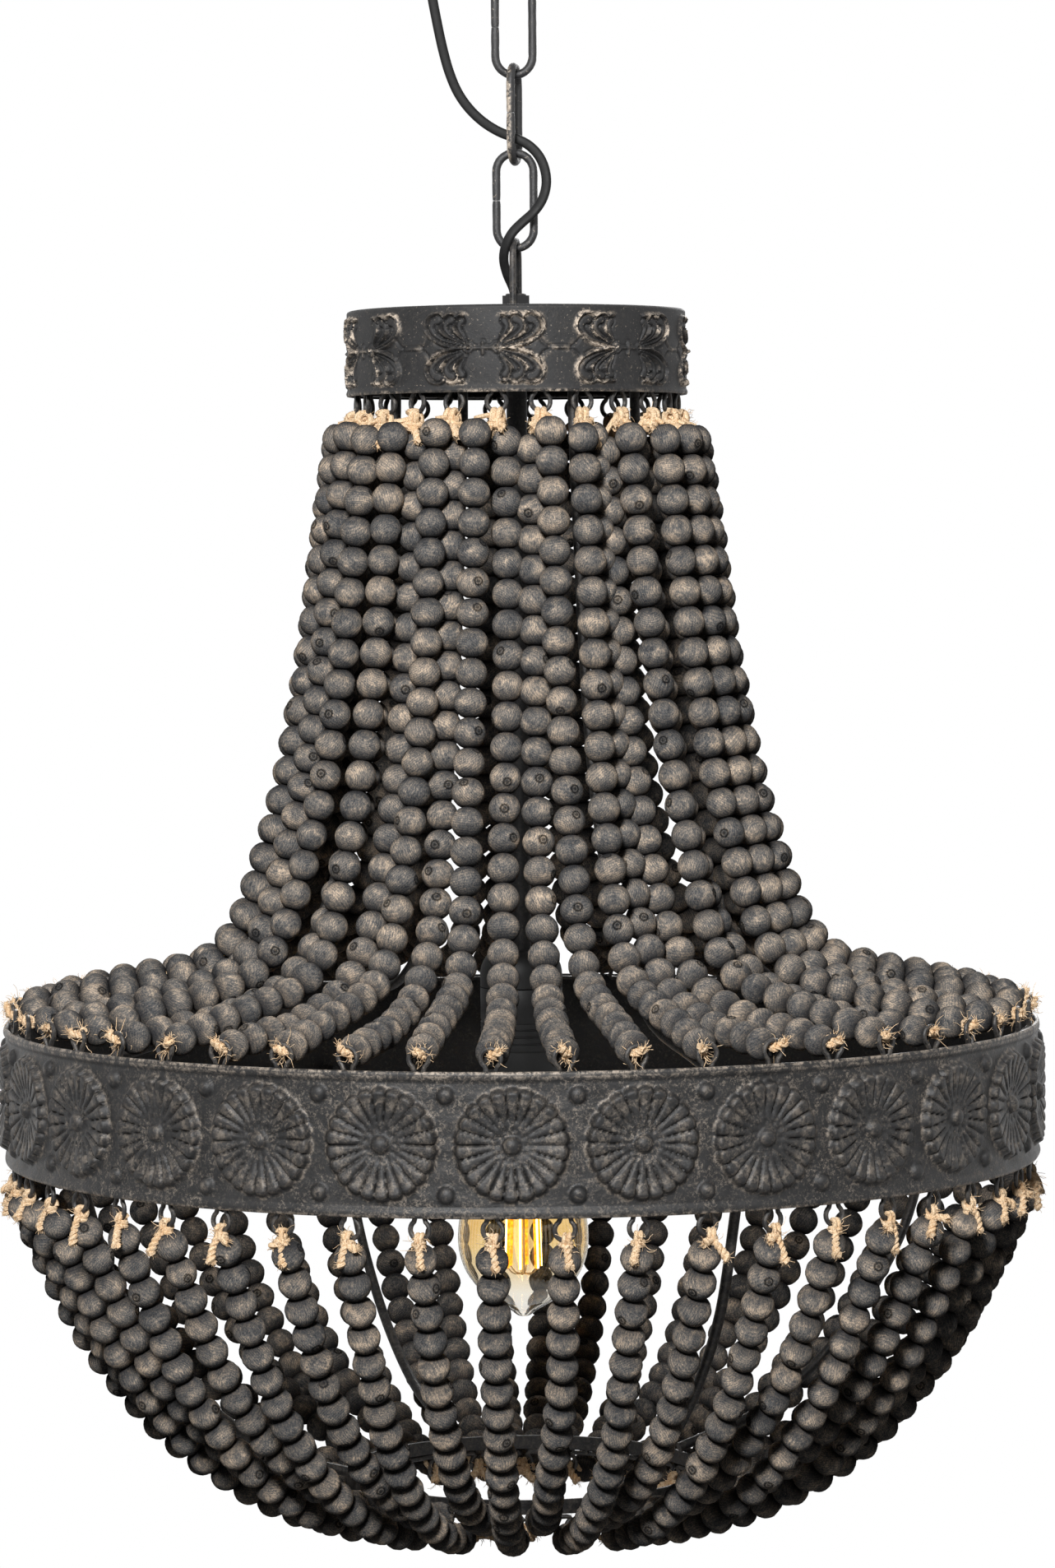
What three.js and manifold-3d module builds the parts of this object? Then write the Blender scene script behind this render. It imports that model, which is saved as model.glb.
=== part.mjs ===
// Beaded chandelier: a chain-hung drum, a flared curtain of bead strands, an embossed band and a bowl of
// strands.
// Millimetres, +Z up, -Y to the front. The origin is the centre of the ceiling bracket's top face.
import * as THREE from "three";
import { mergeVertices } from "three/addons/utils/BufferGeometryUtils.js";
import Module from "manifold-3d";

const wasm = await Module();
wasm.setup();

// Clearances
const seatGap = 0.3; // between two pieces that rest on or are fixed to each other
const overrun = 2; // how far a cutter passes the face it cuts

// Ceiling fitting
const bracketLength = 90;
const bracketWidth = 22;
const bracketThickness = 4;
const bracketHoleSpacing = 70;
const bracketHoleDiameter = 5;
const bracketBossDiameter = 15;
const bracketBossHeight = 10;
const canopyDiameter = 110;
const canopyHeight = 30;
const canopyWall = 1.2;
const canopyShoulder = 6;
const canopyCeilingGap = 0.5;
const canopyNutFlats = 14;
const canopyNutHeight = 4;
const loopShankDiameter = 6;
const loopWire = 4;
const loopRadius = 6.5;
const loopDrop = 20; // from the canopy's underside to the centre of the loop's lowest wire

// Chain
const linkLength = 50;
const linkWidth = 22;
const linkWire = 4;
const linkButtGap = 0.3; // the unwelded joint in each link's leg
const linkArcSteps = 6; // even, so that a corner lies where the links touch

// Supply cord and its grip
const cordDiameter = 4.4;
const cordSides = 8;
const cordSteps = 30;
const cordBelowStem = 4; // from the stem's lower end to the cord's
const gripOffset = 42; // from the lamp's axis
const gripHeadDiameter = 13;
const gripHeadHeight = 4;
const gripNeckDiameter = 8;
const gripShoulderDiameter = 12;
const gripMouthDiameter = 7.4;
const gripBoreClearance = 0.4;

// Suspension eye and stem
const eyeWire = 3.2;
const eyeLegSpacing = 20;
const eyeHeight = 35.7; // from the drum's top to the top of the eye
const eyeHeadDiameter = 6.4;
const eyeHeadHeight = 1.6;
const eyeArcSteps = 6;
const stemDiameter = 10;
const stemBore = 7;
const stemRise = 1; // above the top nut
const stemNutFlats = 13;
const stemNutHeight = 7;
const lockNutHeight = 4;
const stemEngagement = 9; // inside the lampholder's cap

// Drum
const drumDiameter = 164;
const drumHeight = 41;
const drumWall = 1.2;
const drumRimHeight = 3.5;
const drumRimProud = 1;
const plateThickness = 1.5;
const plateLedge = 2;
const plateLedgeHeight = 1.5;

// Lampholder and bulb
const lampholderDrop = 310; // from the drum's top to the lampholder's top
const holderCapTopDiameter = 24;
const holderCapHeight = 18;
const holderCapWall = 1.5;
const holderDiameter = 40;
const holderLength = 45;
const screwShellDiameter = 26.5; // E27
const screwShellLength = 21;
const contactDiameter = 9;
const contactHeight = 2.5;
const insulatorHeight = 3.5;
const bulbLength = 140;
const bulbDiameter = 64;
const bulbNeckDiameter = 33;
const bulbShoulder = 5;
const bulbGlassWall = 1;
const mountDiameter = 8;
const mountLength = 22;
const filamentCount = 4;
const filamentDiameter = 1.8;
const filamentCircle = 17;
const filamentSpread = 12; // drop over which the leads spread from the mount to the filaments
const filamentTipGap = 22; // from the filaments' ends to the bulb's tip

// Band
const bandDrop = 343.5; // from the drum's top to the band's top
const bandDiameter = 501;
const bandHeight = 65;
const bandSheet = 1.5;
const bandRimHeight = 4;
const bandRimProud = 1;
const rosetteCount = 26;
const rosetteDiameter = 49;
const rosetteRise = 3.4;
const rosetteRim = 1.6;
const rosetteDish = 1.9; // how far the dished face falls from the rim to the boss
const rosetteBossDiameter = 8;
const rosetteBossRise = 2.2;
const rosetteFirstDegrees = -1.3;

// Bottom ring
const ringDrop = 155.5; // from the band's bottom to the ring's top
const ringDiameter = 176;
const ringHeight = 7;
const ringSheet = 1.5;

// Frame rods
const rodDiameter = 5;
const rodCount = 4;
const rodFirstDegrees = 24.8;
const rodInset = 15; // from the strands' centre line to the rod's
const upperRodInset = 16.8; // from the drum's inside to an upper rod's centre line
const rodBandOffset = 14; // from the band's edge to a rod's end

// Wire eyelets
const eyeletWire = 2.4;
const eyeletWidth = 8.8;
const eyeletReach = 9.4; // from the wire's run to the centre of the loop's far end
const eyeletNeck = 5;
const eyeletRunInset = 2; // from the rim's edge to the wire's run
const drumEyeletCount = 24;
const bandEyeletCount = 48;
const eyeletFirstDegrees = 8.2;

// Bead strands
const beadDiameter = 15;
const strandSides = 5;
const sectorCount = 12;
const outerLayerProud = 5.5; // from the drum's wall to the outer layer's centre line
const innerLayerInset = 6;
const knotRadius = 2; // how far the two cords of a knot lie from its middle
const knotDegrees = 0.9;
const upperStrandStart = 14; // from the drum's bottom to the strands' first point
const upperStrandEnd = 6.5; // from the band's top to the strands' last point
const lowerStrandStart = 13; // from the band's bottom to the strands' first point
const lowerLayerStep = 9.4; // height between the two layers at the bottom ring
const lowerLayerDrop = 17.4; // from the ring's top to the lower layer's centre
const lastBeadLength = 8;
// Each strand's bends from its first bead to its last, as shares of its way outward and downward.
const outerLayerShares = [
  [0, 0], [0.08, 0.34], [0.148, 0.54], [0.23, 0.725], [0.342, 0.88], [0.45, 0.928], [0.745, 0.967], [1, 1],
];
const innerLayerShares = [
  [0, 0], [0.085, 0.43], [0.133, 0.595], [0.198, 0.727], [0.285, 0.85], [0.435, 0.94], [0.66, 0.979], [1, 1],
];
const bowlShares = [[0, 0], [0.14, 0.29], [0.33, 0.585], [0.55, 0.8], [0.77, 0.935], [1, 1]];

// Heights
const canopyBottom = -canopyHeight;
const swingHeight = canopyBottom - loopDrop;
const linkPitch = linkLength - linkWire - linkWire - seatGap;
const linkCount = 4;
const chainEnd = swingHeight - linkCount * linkPitch;
const eyeTop = chainEnd + linkWire / 2 + seatGap + eyeWire;
const drumTop = eyeTop - eyeHeight;
const drumBottom = drumTop - drumHeight;
const plateBottom = drumTop - plateThickness;
const holderTop = drumTop - lampholderDrop;
const sleeveTop = holderTop - holderCapHeight - seatGap;
const sleeveBottom = sleeveTop - holderLength;
const bandTop = drumTop - bandDrop;
const bandBottom = bandTop - bandHeight;
const ringTop = bandBottom - ringDrop;
const ringBottom = ringTop - ringHeight;
const stemNutBottom = drumTop + seatGap;
const stemTop = stemNutBottom + stemNutHeight + stemRise;
const contactRise = insulatorHeight + contactHeight; // from the bulb's screw shell to its top
const shellDrop = (bulbNeckDiameter - screwShellDiameter) / 2; // from the sleeve's mouth to the shell's end
const cavityTop = sleeveBottom + screwShellLength + contactRise - shellDrop;
const bulbTop = cavityTop - seatGap;
const bulbTip = bulbTop - bulbLength;
const shellTop = bulbTop - contactRise;
const shellBottom = shellTop - screwShellLength;
const glassTop = shellBottom - seatGap;
const upperStrandTop = drumBottom - upperStrandStart;
const upperStrandFoot = bandTop + upperStrandEnd;
const lowerStrandTop = bandBottom - lowerStrandStart;
const drumKnot = drumBottom + eyeletRunInset - eyeletReach;
const bandKnot = bandBottom + eyeletRunInset - eyeletReach;
const lowerLayerHeight = ringTop - lowerLayerDrop;

// Angles, in degrees
const fullTurn = 360;
const sectorDegrees = fullTurn / sectorCount;
const strandDegrees = fullTurn / bandEyeletCount;
const strandsPerSector = bandEyeletCount / sectorCount;
const firstStrandDegrees = eyeletFirstDegrees + strandDegrees / 2;

// Radii
const drumSides = 36;
const bandSides = 2 * rosetteCount;
const drumInner = drumDiameter / 2 - drumWall;
const bandInner = bandDiameter / 2 - bandSheet;
const bandInnerFlat = bandInner * Math.cos(Math.PI / bandSides);
const drumMouthFlat = (drumInner - drumRimProud) * Math.cos(Math.PI / drumSides);
const drumEyeletRadius = drumMouthFlat - seatGap - eyeletWire / 2;
const bandEyeletRadius = bandInnerFlat - seatGap - eyeletWire / 2;
const ringEyeletRadius = (ringDiameter - ringSheet) / 2;
const strandBandRadius = bandEyeletRadius - eyeletWire / 2 - 2 * seatGap;
const strandRingRadius = ringDiameter / 2 + eyeletWire / 4;
const outerLayerRadius = drumDiameter / 2 + outerLayerProud;
const innerLayerRadius = drumDiameter / 2 - innerLayerInset;
const upperRodRadius = drumInner - upperRodInset;
const rodBandRadius = bandInnerFlat - seatGap;
const stemNutBore = stemDiameter + 2 * seatGap;
const shankBore = loopShankDiameter + 2 * seatGap;

// Finishes
const blackenedSteel = new THREE.MeshStandardMaterial({ color: 0x2b2b2d, roughness: 0.6, metalness: 0.6 });
const stainedWood = new THREE.MeshStandardMaterial({ color: 0x514a44, roughness: 0.75, metalness: 0 });
const blackPlastic = new THREE.MeshStandardMaterial({ color: 0x161616, roughness: 0.5, metalness: 0 });
const nickel = new THREE.MeshStandardMaterial({ color: 0xb9b2a6, roughness: 0.35, metalness: 1 });
const amberGlass = new THREE.MeshStandardMaterial({
  color: 0xe0b061, roughness: 0.08, metalness: 0, transparent: true, opacity: 0.4,
});
const glowing = new THREE.MeshStandardMaterial({ color: 0xffb84a, emissive: 0xff9a20, roughness: 0.5 });

// Helpers

// Closed geometry as a solid that can be cut and joined.
function solidOf(geometry) {
  const bare = geometry.index ? geometry.toNonIndexed() : geometry.clone();
  bare.deleteAttribute("normal");
  bare.deleteAttribute("uv");
  const merged = mergeVertices(bare, 1e-4);
  return new wasm.Manifold(
    new wasm.Mesh({
      numProp: 3,
      vertProperties: merged.attributes.position.array,
      triVerts: new Uint32Array(merged.index.array),
    }),
  );
}

function geometryOf(solid) {
  const mesh = solid.getMesh();
  const geometry = new THREE.BufferGeometry();
  geometry.setAttribute("position", new THREE.BufferAttribute(mesh.vertProperties, 3));
  geometry.setIndex(new THREE.BufferAttribute(mesh.triVerts, 1));
  geometry.computeVertexNormals();
  return geometry;
}

function joined(geometries) {
  return geometryOf(geometries.map(solidOf).reduce((whole, next) => whole.add(next)));
}

function cutFrom(geometry, cutters) {
  return geometryOf(cutters.map(solidOf).reduce((rest, cutter) => rest.subtract(cutter), solidOf(geometry)));
}

// A path whose corners are exactly the points given, each reached after an equal share of its length.
class CornerPath extends THREE.Curve {
  constructor(points) {
    super();
    this.points = points;
  }
  getPoint(t, target = new THREE.Vector3()) {
    const place = t * (this.points.length - 1);
    const index = Math.min(Math.floor(place), this.points.length - 2);
    return target.lerpVectors(this.points[index], this.points[index + 1], place - index);
  }
  getPointAt(u, target) {
    return this.getPoint(u, target);
  }
  getTangentAt(u, target = new THREE.Vector3()) {
    const corner = Math.round(u * (this.points.length - 1));
    const before = this.points[Math.max(corner - 1, 0)];
    const here = this.points[corner];
    const after = this.points[Math.min(corner + 1, this.points.length - 1)];
    const arriving = here.clone().sub(before).normalize();
    const leaving = after.clone().sub(here).normalize();
    return target.copy(arriving).add(leaving).normalize();
  }
}

// A regular section with the given number of sides, as wide as its corners.
function roundSection(diameter, sides, turn = 0) {
  const corners = [];
  for (let i = 0; i < sides; i++) {
    const angle = turn + (2 * Math.PI * i) / sides;
    corners.push(new THREE.Vector2(Math.cos(angle), Math.sin(angle)).multiplyScalar(diameter / 2));
  }
  return new THREE.Shape(corners);
}

function wireAlong(points, diameter, sides, turn = 0) {
  return new THREE.ExtrudeGeometry(roundSection(diameter, sides, turn), {
    steps: points.length - 1,
    extrudePath: new CornerPath(points),
  });
}

// A body of revolution about +Z from [radius, height] points, anticlockwise in the radius-height plane.
function turned(profile, segments) {
  const points = profile.map(([radius, height]) => new THREE.Vector2(radius, height));
  return new THREE.LatheGeometry(points, segments).rotateX(Math.PI / 2);
}

// A closed ring-shaped profile ends where it starts.
function turnedRing(profile, segments) {
  return turned([...profile, profile[0]], segments);
}

function plug(diameter, height, segments, low) {
  return turned([[0, low], [diameter / 2, low], [diameter / 2, low + height], [0, low + height]], segments);
}

// A flat shape with round holes, from the height low upwards. Each hole is [x, y, diameter].
function slab(shape, holes, thickness, low, curveSegments) {
  for (const [x, y, diameter] of holes) {
    shape.holes.push(new THREE.Path().absarc(x, y, diameter / 2, 0, 2 * Math.PI, true));
  }
  const options = { depth: thickness, bevelEnabled: false, curveSegments };
  return new THREE.ExtrudeGeometry(shape, options).translate(0, 0, low);
}

// A nut whose first corner lies at the angle given, from +X.
function hexNut(flats, bore, height, low, corner) {
  const hexagon = roundSection(flats / Math.cos(Math.PI / 6), 6, corner);
  return slab(hexagon, [[0, 0, bore]], height, low, 6);
}

function polar(radius, degrees, height) {
  const angle = THREE.MathUtils.degToRad(degrees - 90);
  return new THREE.Vector3(radius * Math.cos(angle), radius * Math.sin(angle), height);
}

function named(name, geometry, material) {
  const mesh = new THREE.Mesh(geometry, material);
  mesh.name = name;
  return mesh;
}

function numbered(name, index) {
  return `${name}_${String(index + 1).padStart(2, "0")}`;
}

// Ceiling fitting

function ceilingBracket() {
  const half = bracketLength / 2;
  const side = bracketWidth / 2;
  const strap = new THREE.Shape([
    new THREE.Vector2(-half, -side),
    new THREE.Vector2(half, -side),
    new THREE.Vector2(half, side),
    new THREE.Vector2(-half, side),
  ]);
  const holes = [-1, 1].map((hand) => [(hand * bracketHoleSpacing) / 2, 0, bracketHoleDiameter]);
  const plate = slab(strap, holes, bracketThickness, -bracketThickness, 4);
  const bossBottom = -bracketThickness - bracketBossHeight;
  const boss = plug(bracketBossDiameter, bracketBossHeight + bracketThickness / 2, 16, bossBottom);
  const bore = plug(loopShankDiameter + 2 * seatGap, bracketBossHeight + overrun, 12, bossBottom - overrun);
  return cutFrom(joined([plate, boss]), [bore]);
}

function canopy() {
  const outer = canopyDiameter / 2;
  const centreHole = loopShankDiameter / 2 + seatGap;
  const shell = turnedRing([
    [centreHole, canopyBottom],
    [outer - canopyShoulder, canopyBottom],
    [outer - canopyWall, canopyBottom + canopyShoulder / 2],
    [outer, canopyBottom + canopyShoulder],
    [outer, -canopyCeilingGap],
    [outer - canopyWall, -canopyCeilingGap],
    [outer - canopyWall, canopyBottom + canopyShoulder],
    [outer - 2 * canopyWall, canopyBottom + canopyShoulder / 2 + canopyWall],
    [outer - canopyShoulder, canopyBottom + canopyWall],
    [centreHole, canopyBottom + canopyWall],
  ], 24);
  const cordHole = plug(gripNeckDiameter + 2 * seatGap, canopyWall + 2 * overrun, 12, canopyBottom - overrun);
  return cutFrom(shell, [cordHole.translate(-gripOffset, 0, 0)]);
}

function canopyLoop() {
  const ringCentre = swingHeight + loopRadius;
  const shankTop = -bracketThickness - seatGap;
  const shankBottom = ringCentre + loopRadius - loopWire / 4;
  const shank = plug(loopShankDiameter, shankTop - shankBottom, 12, shankBottom);
  const ring = new THREE.TorusGeometry(loopRadius, loopWire / 2, 8, 16);
  return joined([shank, ring.rotateX(Math.PI / 2).translate(0, 0, ringCentre)]);
}

function cordGrip() {
  const bore = cordDiameter / 2 + gripBoreClearance;
  const underside = canopyBottom - seatGap;
  const headBottom = canopyBottom + canopyWall + seatGap;
  return turnedRing([
    [bore, swingHeight],
    [gripMouthDiameter / 2, swingHeight],
    [gripShoulderDiameter / 2, underside - gripHeadHeight],
    [gripShoulderDiameter / 2, underside],
    [gripNeckDiameter / 2, underside],
    [gripNeckDiameter / 2, headBottom],
    [gripHeadDiameter / 2, headBottom],
    [gripHeadDiameter / 2, headBottom + gripHeadHeight],
    [bore, headBottom + gripHeadHeight],
  ], 12).translate(-gripOffset, 0, 0);
}

// Chain link in the XZ plane, hanging from a wire at the height given. Its ends butt in the left leg.
function chainLink(wireAbove) {
  const radius = (linkWidth - linkWire) / 2;
  const top = wireAbove + linkWire + seatGap - radius;
  const bottom = wireAbove - linkPitch + radius;
  const middle = (top + bottom) / 2;
  const points = [new THREE.Vector3(-radius, 0, middle - linkButtGap / 2)];
  for (const [centre, first] of [[bottom, Math.PI], [top, 0]]) {
    for (let i = 0; i <= linkArcSteps; i++) {
      const angle = first + (Math.PI * i) / linkArcSteps;
      points.push(new THREE.Vector3(radius * Math.cos(angle), 0, centre + radius * Math.sin(angle)));
    }
  }
  points.push(new THREE.Vector3(-radius, 0, middle + linkButtGap / 2));
  return wireAlong(points, linkWire, 6, Math.PI / 2);
}

function liftingEye() {
  const radius = eyeLegSpacing / 2;
  const archCentre = eyeTop - eyeWire / 2 - radius;
  const headTop = plateBottom - seatGap;
  const points = [new THREE.Vector3(0, -radius, headTop - eyeHeadHeight / 2)];
  for (let i = 0; i <= eyeArcSteps; i++) {
    const angle = Math.PI - (Math.PI * i) / eyeArcSteps;
    points.push(new THREE.Vector3(0, radius * Math.cos(angle), archCentre + radius * Math.sin(angle)));
  }
  points.push(new THREE.Vector3(0, radius, headTop - eyeHeadHeight / 2));
  const heads = [-radius, radius].map((y) =>
    plug(eyeHeadDiameter, eyeHeadHeight, 8, headTop - eyeHeadHeight).translate(0, y, 0),
  );
  return joined([wireAlong(points, eyeWire, 6), ...heads]);
}

// Drum, its top plate and the stem

function drum() {
  const outer = drumDiameter / 2;
  const ledgeTop = plateBottom - seatGap;
  return turnedRing([
    [drumInner - drumRimProud, drumBottom],
    [outer + drumRimProud, drumBottom],
    [outer + drumRimProud, drumBottom + drumRimHeight],
    [outer, drumBottom + drumRimHeight + drumRimProud],
    [outer, drumTop - drumRimHeight - drumRimProud],
    [outer + drumRimProud, drumTop - drumRimHeight],
    [outer + drumRimProud, drumTop],
    [drumInner, drumTop],
    [drumInner, ledgeTop],
    [drumInner - plateLedge, ledgeTop],
    [drumInner - plateLedge, ledgeTop - plateLedgeHeight],
    [drumInner, ledgeTop - plateLedgeHeight - plateLedge],
    [drumInner, drumBottom + drumRimHeight],
  ], drumSides);
}

function drumTopPlate() {
  const disc = roundSection(2 * (drumInner - seatGap), drumSides);
  const legHole = eyeWire + 2 * seatGap;
  const holes = [
    [0, 0, stemDiameter + 2 * seatGap],
    [0, eyeLegSpacing / 2, legHole],
    [0, -eyeLegSpacing / 2, legHole],
  ];
  return slab(disc, holes, plateThickness, plateBottom, 6);
}

function stem() {
  const bottom = holderTop - stemEngagement;
  return turnedRing([
    [stemBore / 2, bottom],
    [stemDiameter / 2, bottom],
    [stemDiameter / 2, stemTop],
    [stemBore / 2, stemTop],
  ], 16);
}

// Lampholder and bulb

function lampholderCap() {
  const hole = stemDiameter / 2 + seatGap;
  const bottom = holderTop - holderCapHeight;
  const outer = holderDiameter / 2;
  const shoulder = holderCapTopDiameter / 2;
  return turnedRing([
    [outer - holderCapWall, bottom],
    [outer, bottom],
    [outer, bottom + holderCapHeight / 3],
    [shoulder, holderTop],
    [hole, holderTop],
    [hole, holderTop - holderCapWall],
    [shoulder - holderCapWall / 2, holderTop - holderCapWall],
    [outer - holderCapWall, bottom + holderCapHeight / 3],
  ], 20);
}

function lampholder() {
  const cavity = screwShellDiameter / 2 + seatGap;
  return turned([
    [0, cavityTop],
    [cavity, cavityTop],
    [cavity, sleeveBottom],
    [holderDiameter / 2, sleeveBottom],
    [holderDiameter / 2, sleeveTop],
    [0, sleeveTop],
  ], 20);
}

function bulbCap() {
  const shell = screwShellDiameter / 2;
  return turned([
    [0, shellBottom],
    [shell, shellBottom],
    [shell, shellTop],
    [contactDiameter / 2, shellTop + insulatorHeight],
    [contactDiameter / 2, bulbTop],
    [0, bulbTop],
  ], 16);
}

// The teardrop outline as shares of the glass's length, from the tip up, and of the bulb's radius.
const glassOutlineShares = [
  [0, 0], [0.02, 0.42], [0.09, 0.78], [0.2, 0.97], [0.33, 1], [0.55, 0.86], [0.78, 0.66],
];

function bulbGlass() {
  const length = glassTop - bulbTip;
  const wallOf = (radius, wall) => Math.max(radius - wall, 0);
  const outlineWith = (wall) => [
    ...glassOutlineShares.map(([up, out]) => [wallOf((out * bulbDiameter) / 2, wall), bulbTip + up * length]),
    [bulbNeckDiameter / 2 - wall, glassTop - bulbShoulder],
    [screwShellDiameter / 2 - wall, glassTop],
  ];
  const outer = outlineWith(0);
  const inner = outlineWith(bulbGlassWall).slice(1).reverse();
  return turned([...outer, ...inner, [0, bulbTip + bulbGlassWall]], 16);
}

function bulbFilament() {
  const top = shellBottom - seatGap;
  const bottom = top - mountLength;
  const mount = plug(mountDiameter, mountLength, 8, bottom);
  const leads = [];
  for (let i = 0; i < filamentCount; i++) {
    const degrees = (fullTurn / filamentCount) * (i + 1 / 2);
    const points = [
      polar(mountDiameter / 4, degrees, bottom + mountLength / 4),
      polar(mountDiameter / 4, degrees, bottom - filamentDiameter),
      polar(filamentCircle / 2, degrees, bottom - filamentSpread),
      polar(filamentCircle / 2, degrees, bulbTip + filamentTipGap),
    ];
    leads.push(wireAlong(points, filamentDiameter, 4));
  }
  return joined([mount, ...leads]);
}

// Embossed band: a rolled-edge sheet with a row of dished round bosses
function band() {
  const outer = bandDiameter / 2;
  const sheet = turnedRing([
    [bandInner, bandBottom],
    [outer + bandRimProud, bandBottom],
    [outer + bandRimProud, bandBottom + bandRimHeight],
    [outer, bandBottom + bandRimHeight + bandRimProud],
    [outer, bandTop - bandRimHeight - bandRimProud],
    [outer + bandRimProud, bandTop - bandRimHeight],
    [outer + bandRimProud, bandTop],
    [bandInner, bandTop],
  ], bandSides);
  const radius = rosetteDiameter / 2;
  const dish = rosetteRise - rosetteDish;
  const bossProfile = [
    [0, -bandSheet / 2],
    [radius, -bandSheet / 2],
    [radius - rosetteRim, rosetteRise],
    [rosetteBossDiameter / 2, dish],
    [0, dish + rosetteBossRise],
  ];
  const flat = outer * Math.cos(Math.PI / bandSides);
  const bosses = [];
  for (let i = 0; i < rosetteCount; i++) {
    const degrees = rosetteFirstDegrees + (fullTurn / rosetteCount) * i;
    const angle = THREE.MathUtils.degToRad(degrees);
    const boss = turned(bossProfile, 8).rotateX(Math.PI / 2);
    bosses.push(boss.translate(0, -flat, (bandTop + bandBottom) / 2).rotateZ(angle));
  }
  return joined([sheet.rotateZ(THREE.MathUtils.degToRad(rosetteFirstDegrees)), ...bosses]);
}

function bottomRing() {
  const outer = ringDiameter / 2;
  return turnedRing([
    [outer - ringSheet, ringBottom],
    [outer, ringBottom],
    [outer, ringTop],
    [outer - ringSheet, ringTop],
  ], 36);
}

// Wire bent into loops, from one angle to another. Up is +1 where the loops stand up and -1 where they hang.
function eyeletPoints(radius, run, up, middles, edges) {
  const neck = THREE.MathUtils.radToDeg(eyeletNeck / 2 / radius);
  const side = THREE.MathUtils.radToDeg(eyeletWidth / 2 / radius);
  const points = [polar(radius, edges[0], run)];
  for (const middle of middles) {
    points.push(polar(radius, middle - neck, run));
    points.push(polar(radius, middle - side, run + (up * eyeletReach) / 2));
    points.push(polar(radius, middle, run + up * eyeletReach));
    points.push(polar(radius, middle + side, run + (up * eyeletReach) / 2));
    points.push(polar(radius, middle + neck, run));
  }
  points.push(polar(radius, edges[1], run));
  return points;
}

function eyeletWireRing(radius, run, up, count, firstMiddle) {
  const step = fullTurn / count;
  const half = THREE.MathUtils.radToDeg(seatGap / 2 / radius);
  const middles = Array.from({ length: count }, (_, i) => firstMiddle + step * i);
  const first = firstMiddle - step / 2;
  const edges = [first + half, first + fullTurn - half];
  return wireAlong(eyeletPoints(radius, run, up, middles, edges), eyeletWire, 3);
}

// The strands' centre lines

// The bends of a centre line between two [radius, height] ends.
function centreLine([startRadius, startHeight], [endRadius, endHeight], shares) {
  return shares.map(([out, down]) => [
    startRadius + out * (endRadius - startRadius),
    startHeight + down * (endHeight - startHeight),
  ]);
}

function upperLine(outerLayer) {
  const start = [outerLayer ? outerLayerRadius : innerLayerRadius, upperStrandTop];
  const shares = outerLayer ? outerLayerShares : innerLayerShares;
  return centreLine(start, [strandBandRadius, upperStrandFoot], shares);
}

// At the bottom ring every second strand of the bowl lies in the lower layer.
function bowlLine(lowerLayer) {
  const height = lowerLayerHeight + (lowerLayer ? 0 : lowerLayerStep);
  const end = [strandRingRadius + lastBeadLength, height];
  return centreLine([bandEyeletRadius, lowerStrandTop], end, bowlShares);
}

// Two strands hang from each drum eyelet, one in each layer, to an eyelet each on the band.
function upperStrand(eyelet, outerLayer) {
  const hand = outerLayer ? 1 : -1;
  const degrees = eyelet - (hand * strandDegrees) / 2;
  return wireAlong([
    polar(drumEyeletRadius + hand * knotRadius, eyelet - hand * knotDegrees, drumKnot),
    ...upperLine(outerLayer).map(([radius, height]) => polar(radius, degrees, height)),
  ], beadDiameter, strandSides);
}

// One strand hangs from each of the band's lower eyelets.
function lowerStrand(degrees, lowerLayer) {
  const line = bowlLine(lowerLayer);
  const [, ringHeightThere] = line[line.length - 1];
  return wireAlong([
    polar(bandEyeletRadius, degrees, bandKnot),
    ...line.map(([radius, height]) => polar(radius, degrees, height)),
    polar(strandRingRadius, degrees, ringHeightThere),
  ], beadDiameter, strandSides);
}

function sectorWire(radius, run, middles, first) {
  const half = THREE.MathUtils.radToDeg(seatGap / 2 / radius);
  const edges = [first + half, first + sectorDegrees - half];
  return wireAlong(eyeletPoints(radius, run, -1, middles, edges), eyeletWire, 3);
}

function upperSector(index) {
  const step = fullTurn / drumEyeletCount;
  const eyelets = Array.from({ length: strandsPerSector / 2 }, (_, i) => {
    return eyeletFirstDegrees + index * sectorDegrees + i * step;
  });
  const run = drumBottom + eyeletRunInset;
  const wire = sectorWire(drumEyeletRadius, run, eyelets, eyelets[0] - step / 2);
  const strands = eyelets.flatMap((eyelet) => [upperStrand(eyelet, true), upperStrand(eyelet, false)]);
  return joined([wire, ...strands]);
}

function lowerSector(index) {
  const angles = Array.from({ length: strandsPerSector }, (_, i) => {
    return firstStrandDegrees + index * sectorDegrees + i * strandDegrees;
  });
  const run = bandBottom + eyeletRunInset;
  const wire = sectorWire(bandEyeletRadius, run, angles, angles[0] - strandDegrees / 2);
  return joined([wire, ...angles.map((degrees, i) => lowerStrand(degrees, i % 2 === 0))]);
}

// Frame rods, inside the strands and parallel to them

// The middle bends of a centre line, moved square to it towards the lamp's axis.
function insetBends(line, degrees) {
  return line.slice(1, -1).map(([radius, height], i) => {
    const [before, , after] = line.slice(i);
    const along = new THREE.Vector2(after[0] - before[0], after[1] - before[1]).setLength(rodInset);
    return polar(radius + along.y, degrees, height - along.x);
  });
}

function upperRod(degrees) {
  return wireAlong([
    polar(upperRodRadius, degrees, plateBottom - seatGap),
    polar(upperRodRadius, degrees, upperStrandTop),
    ...insetBends(upperLine(false), degrees),
    polar(bandInner - rodInset, degrees, bandTop - rodBandOffset),
    polar(rodBandRadius, degrees, bandTop - rodBandOffset),
  ], rodDiameter, 6);
}

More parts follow.
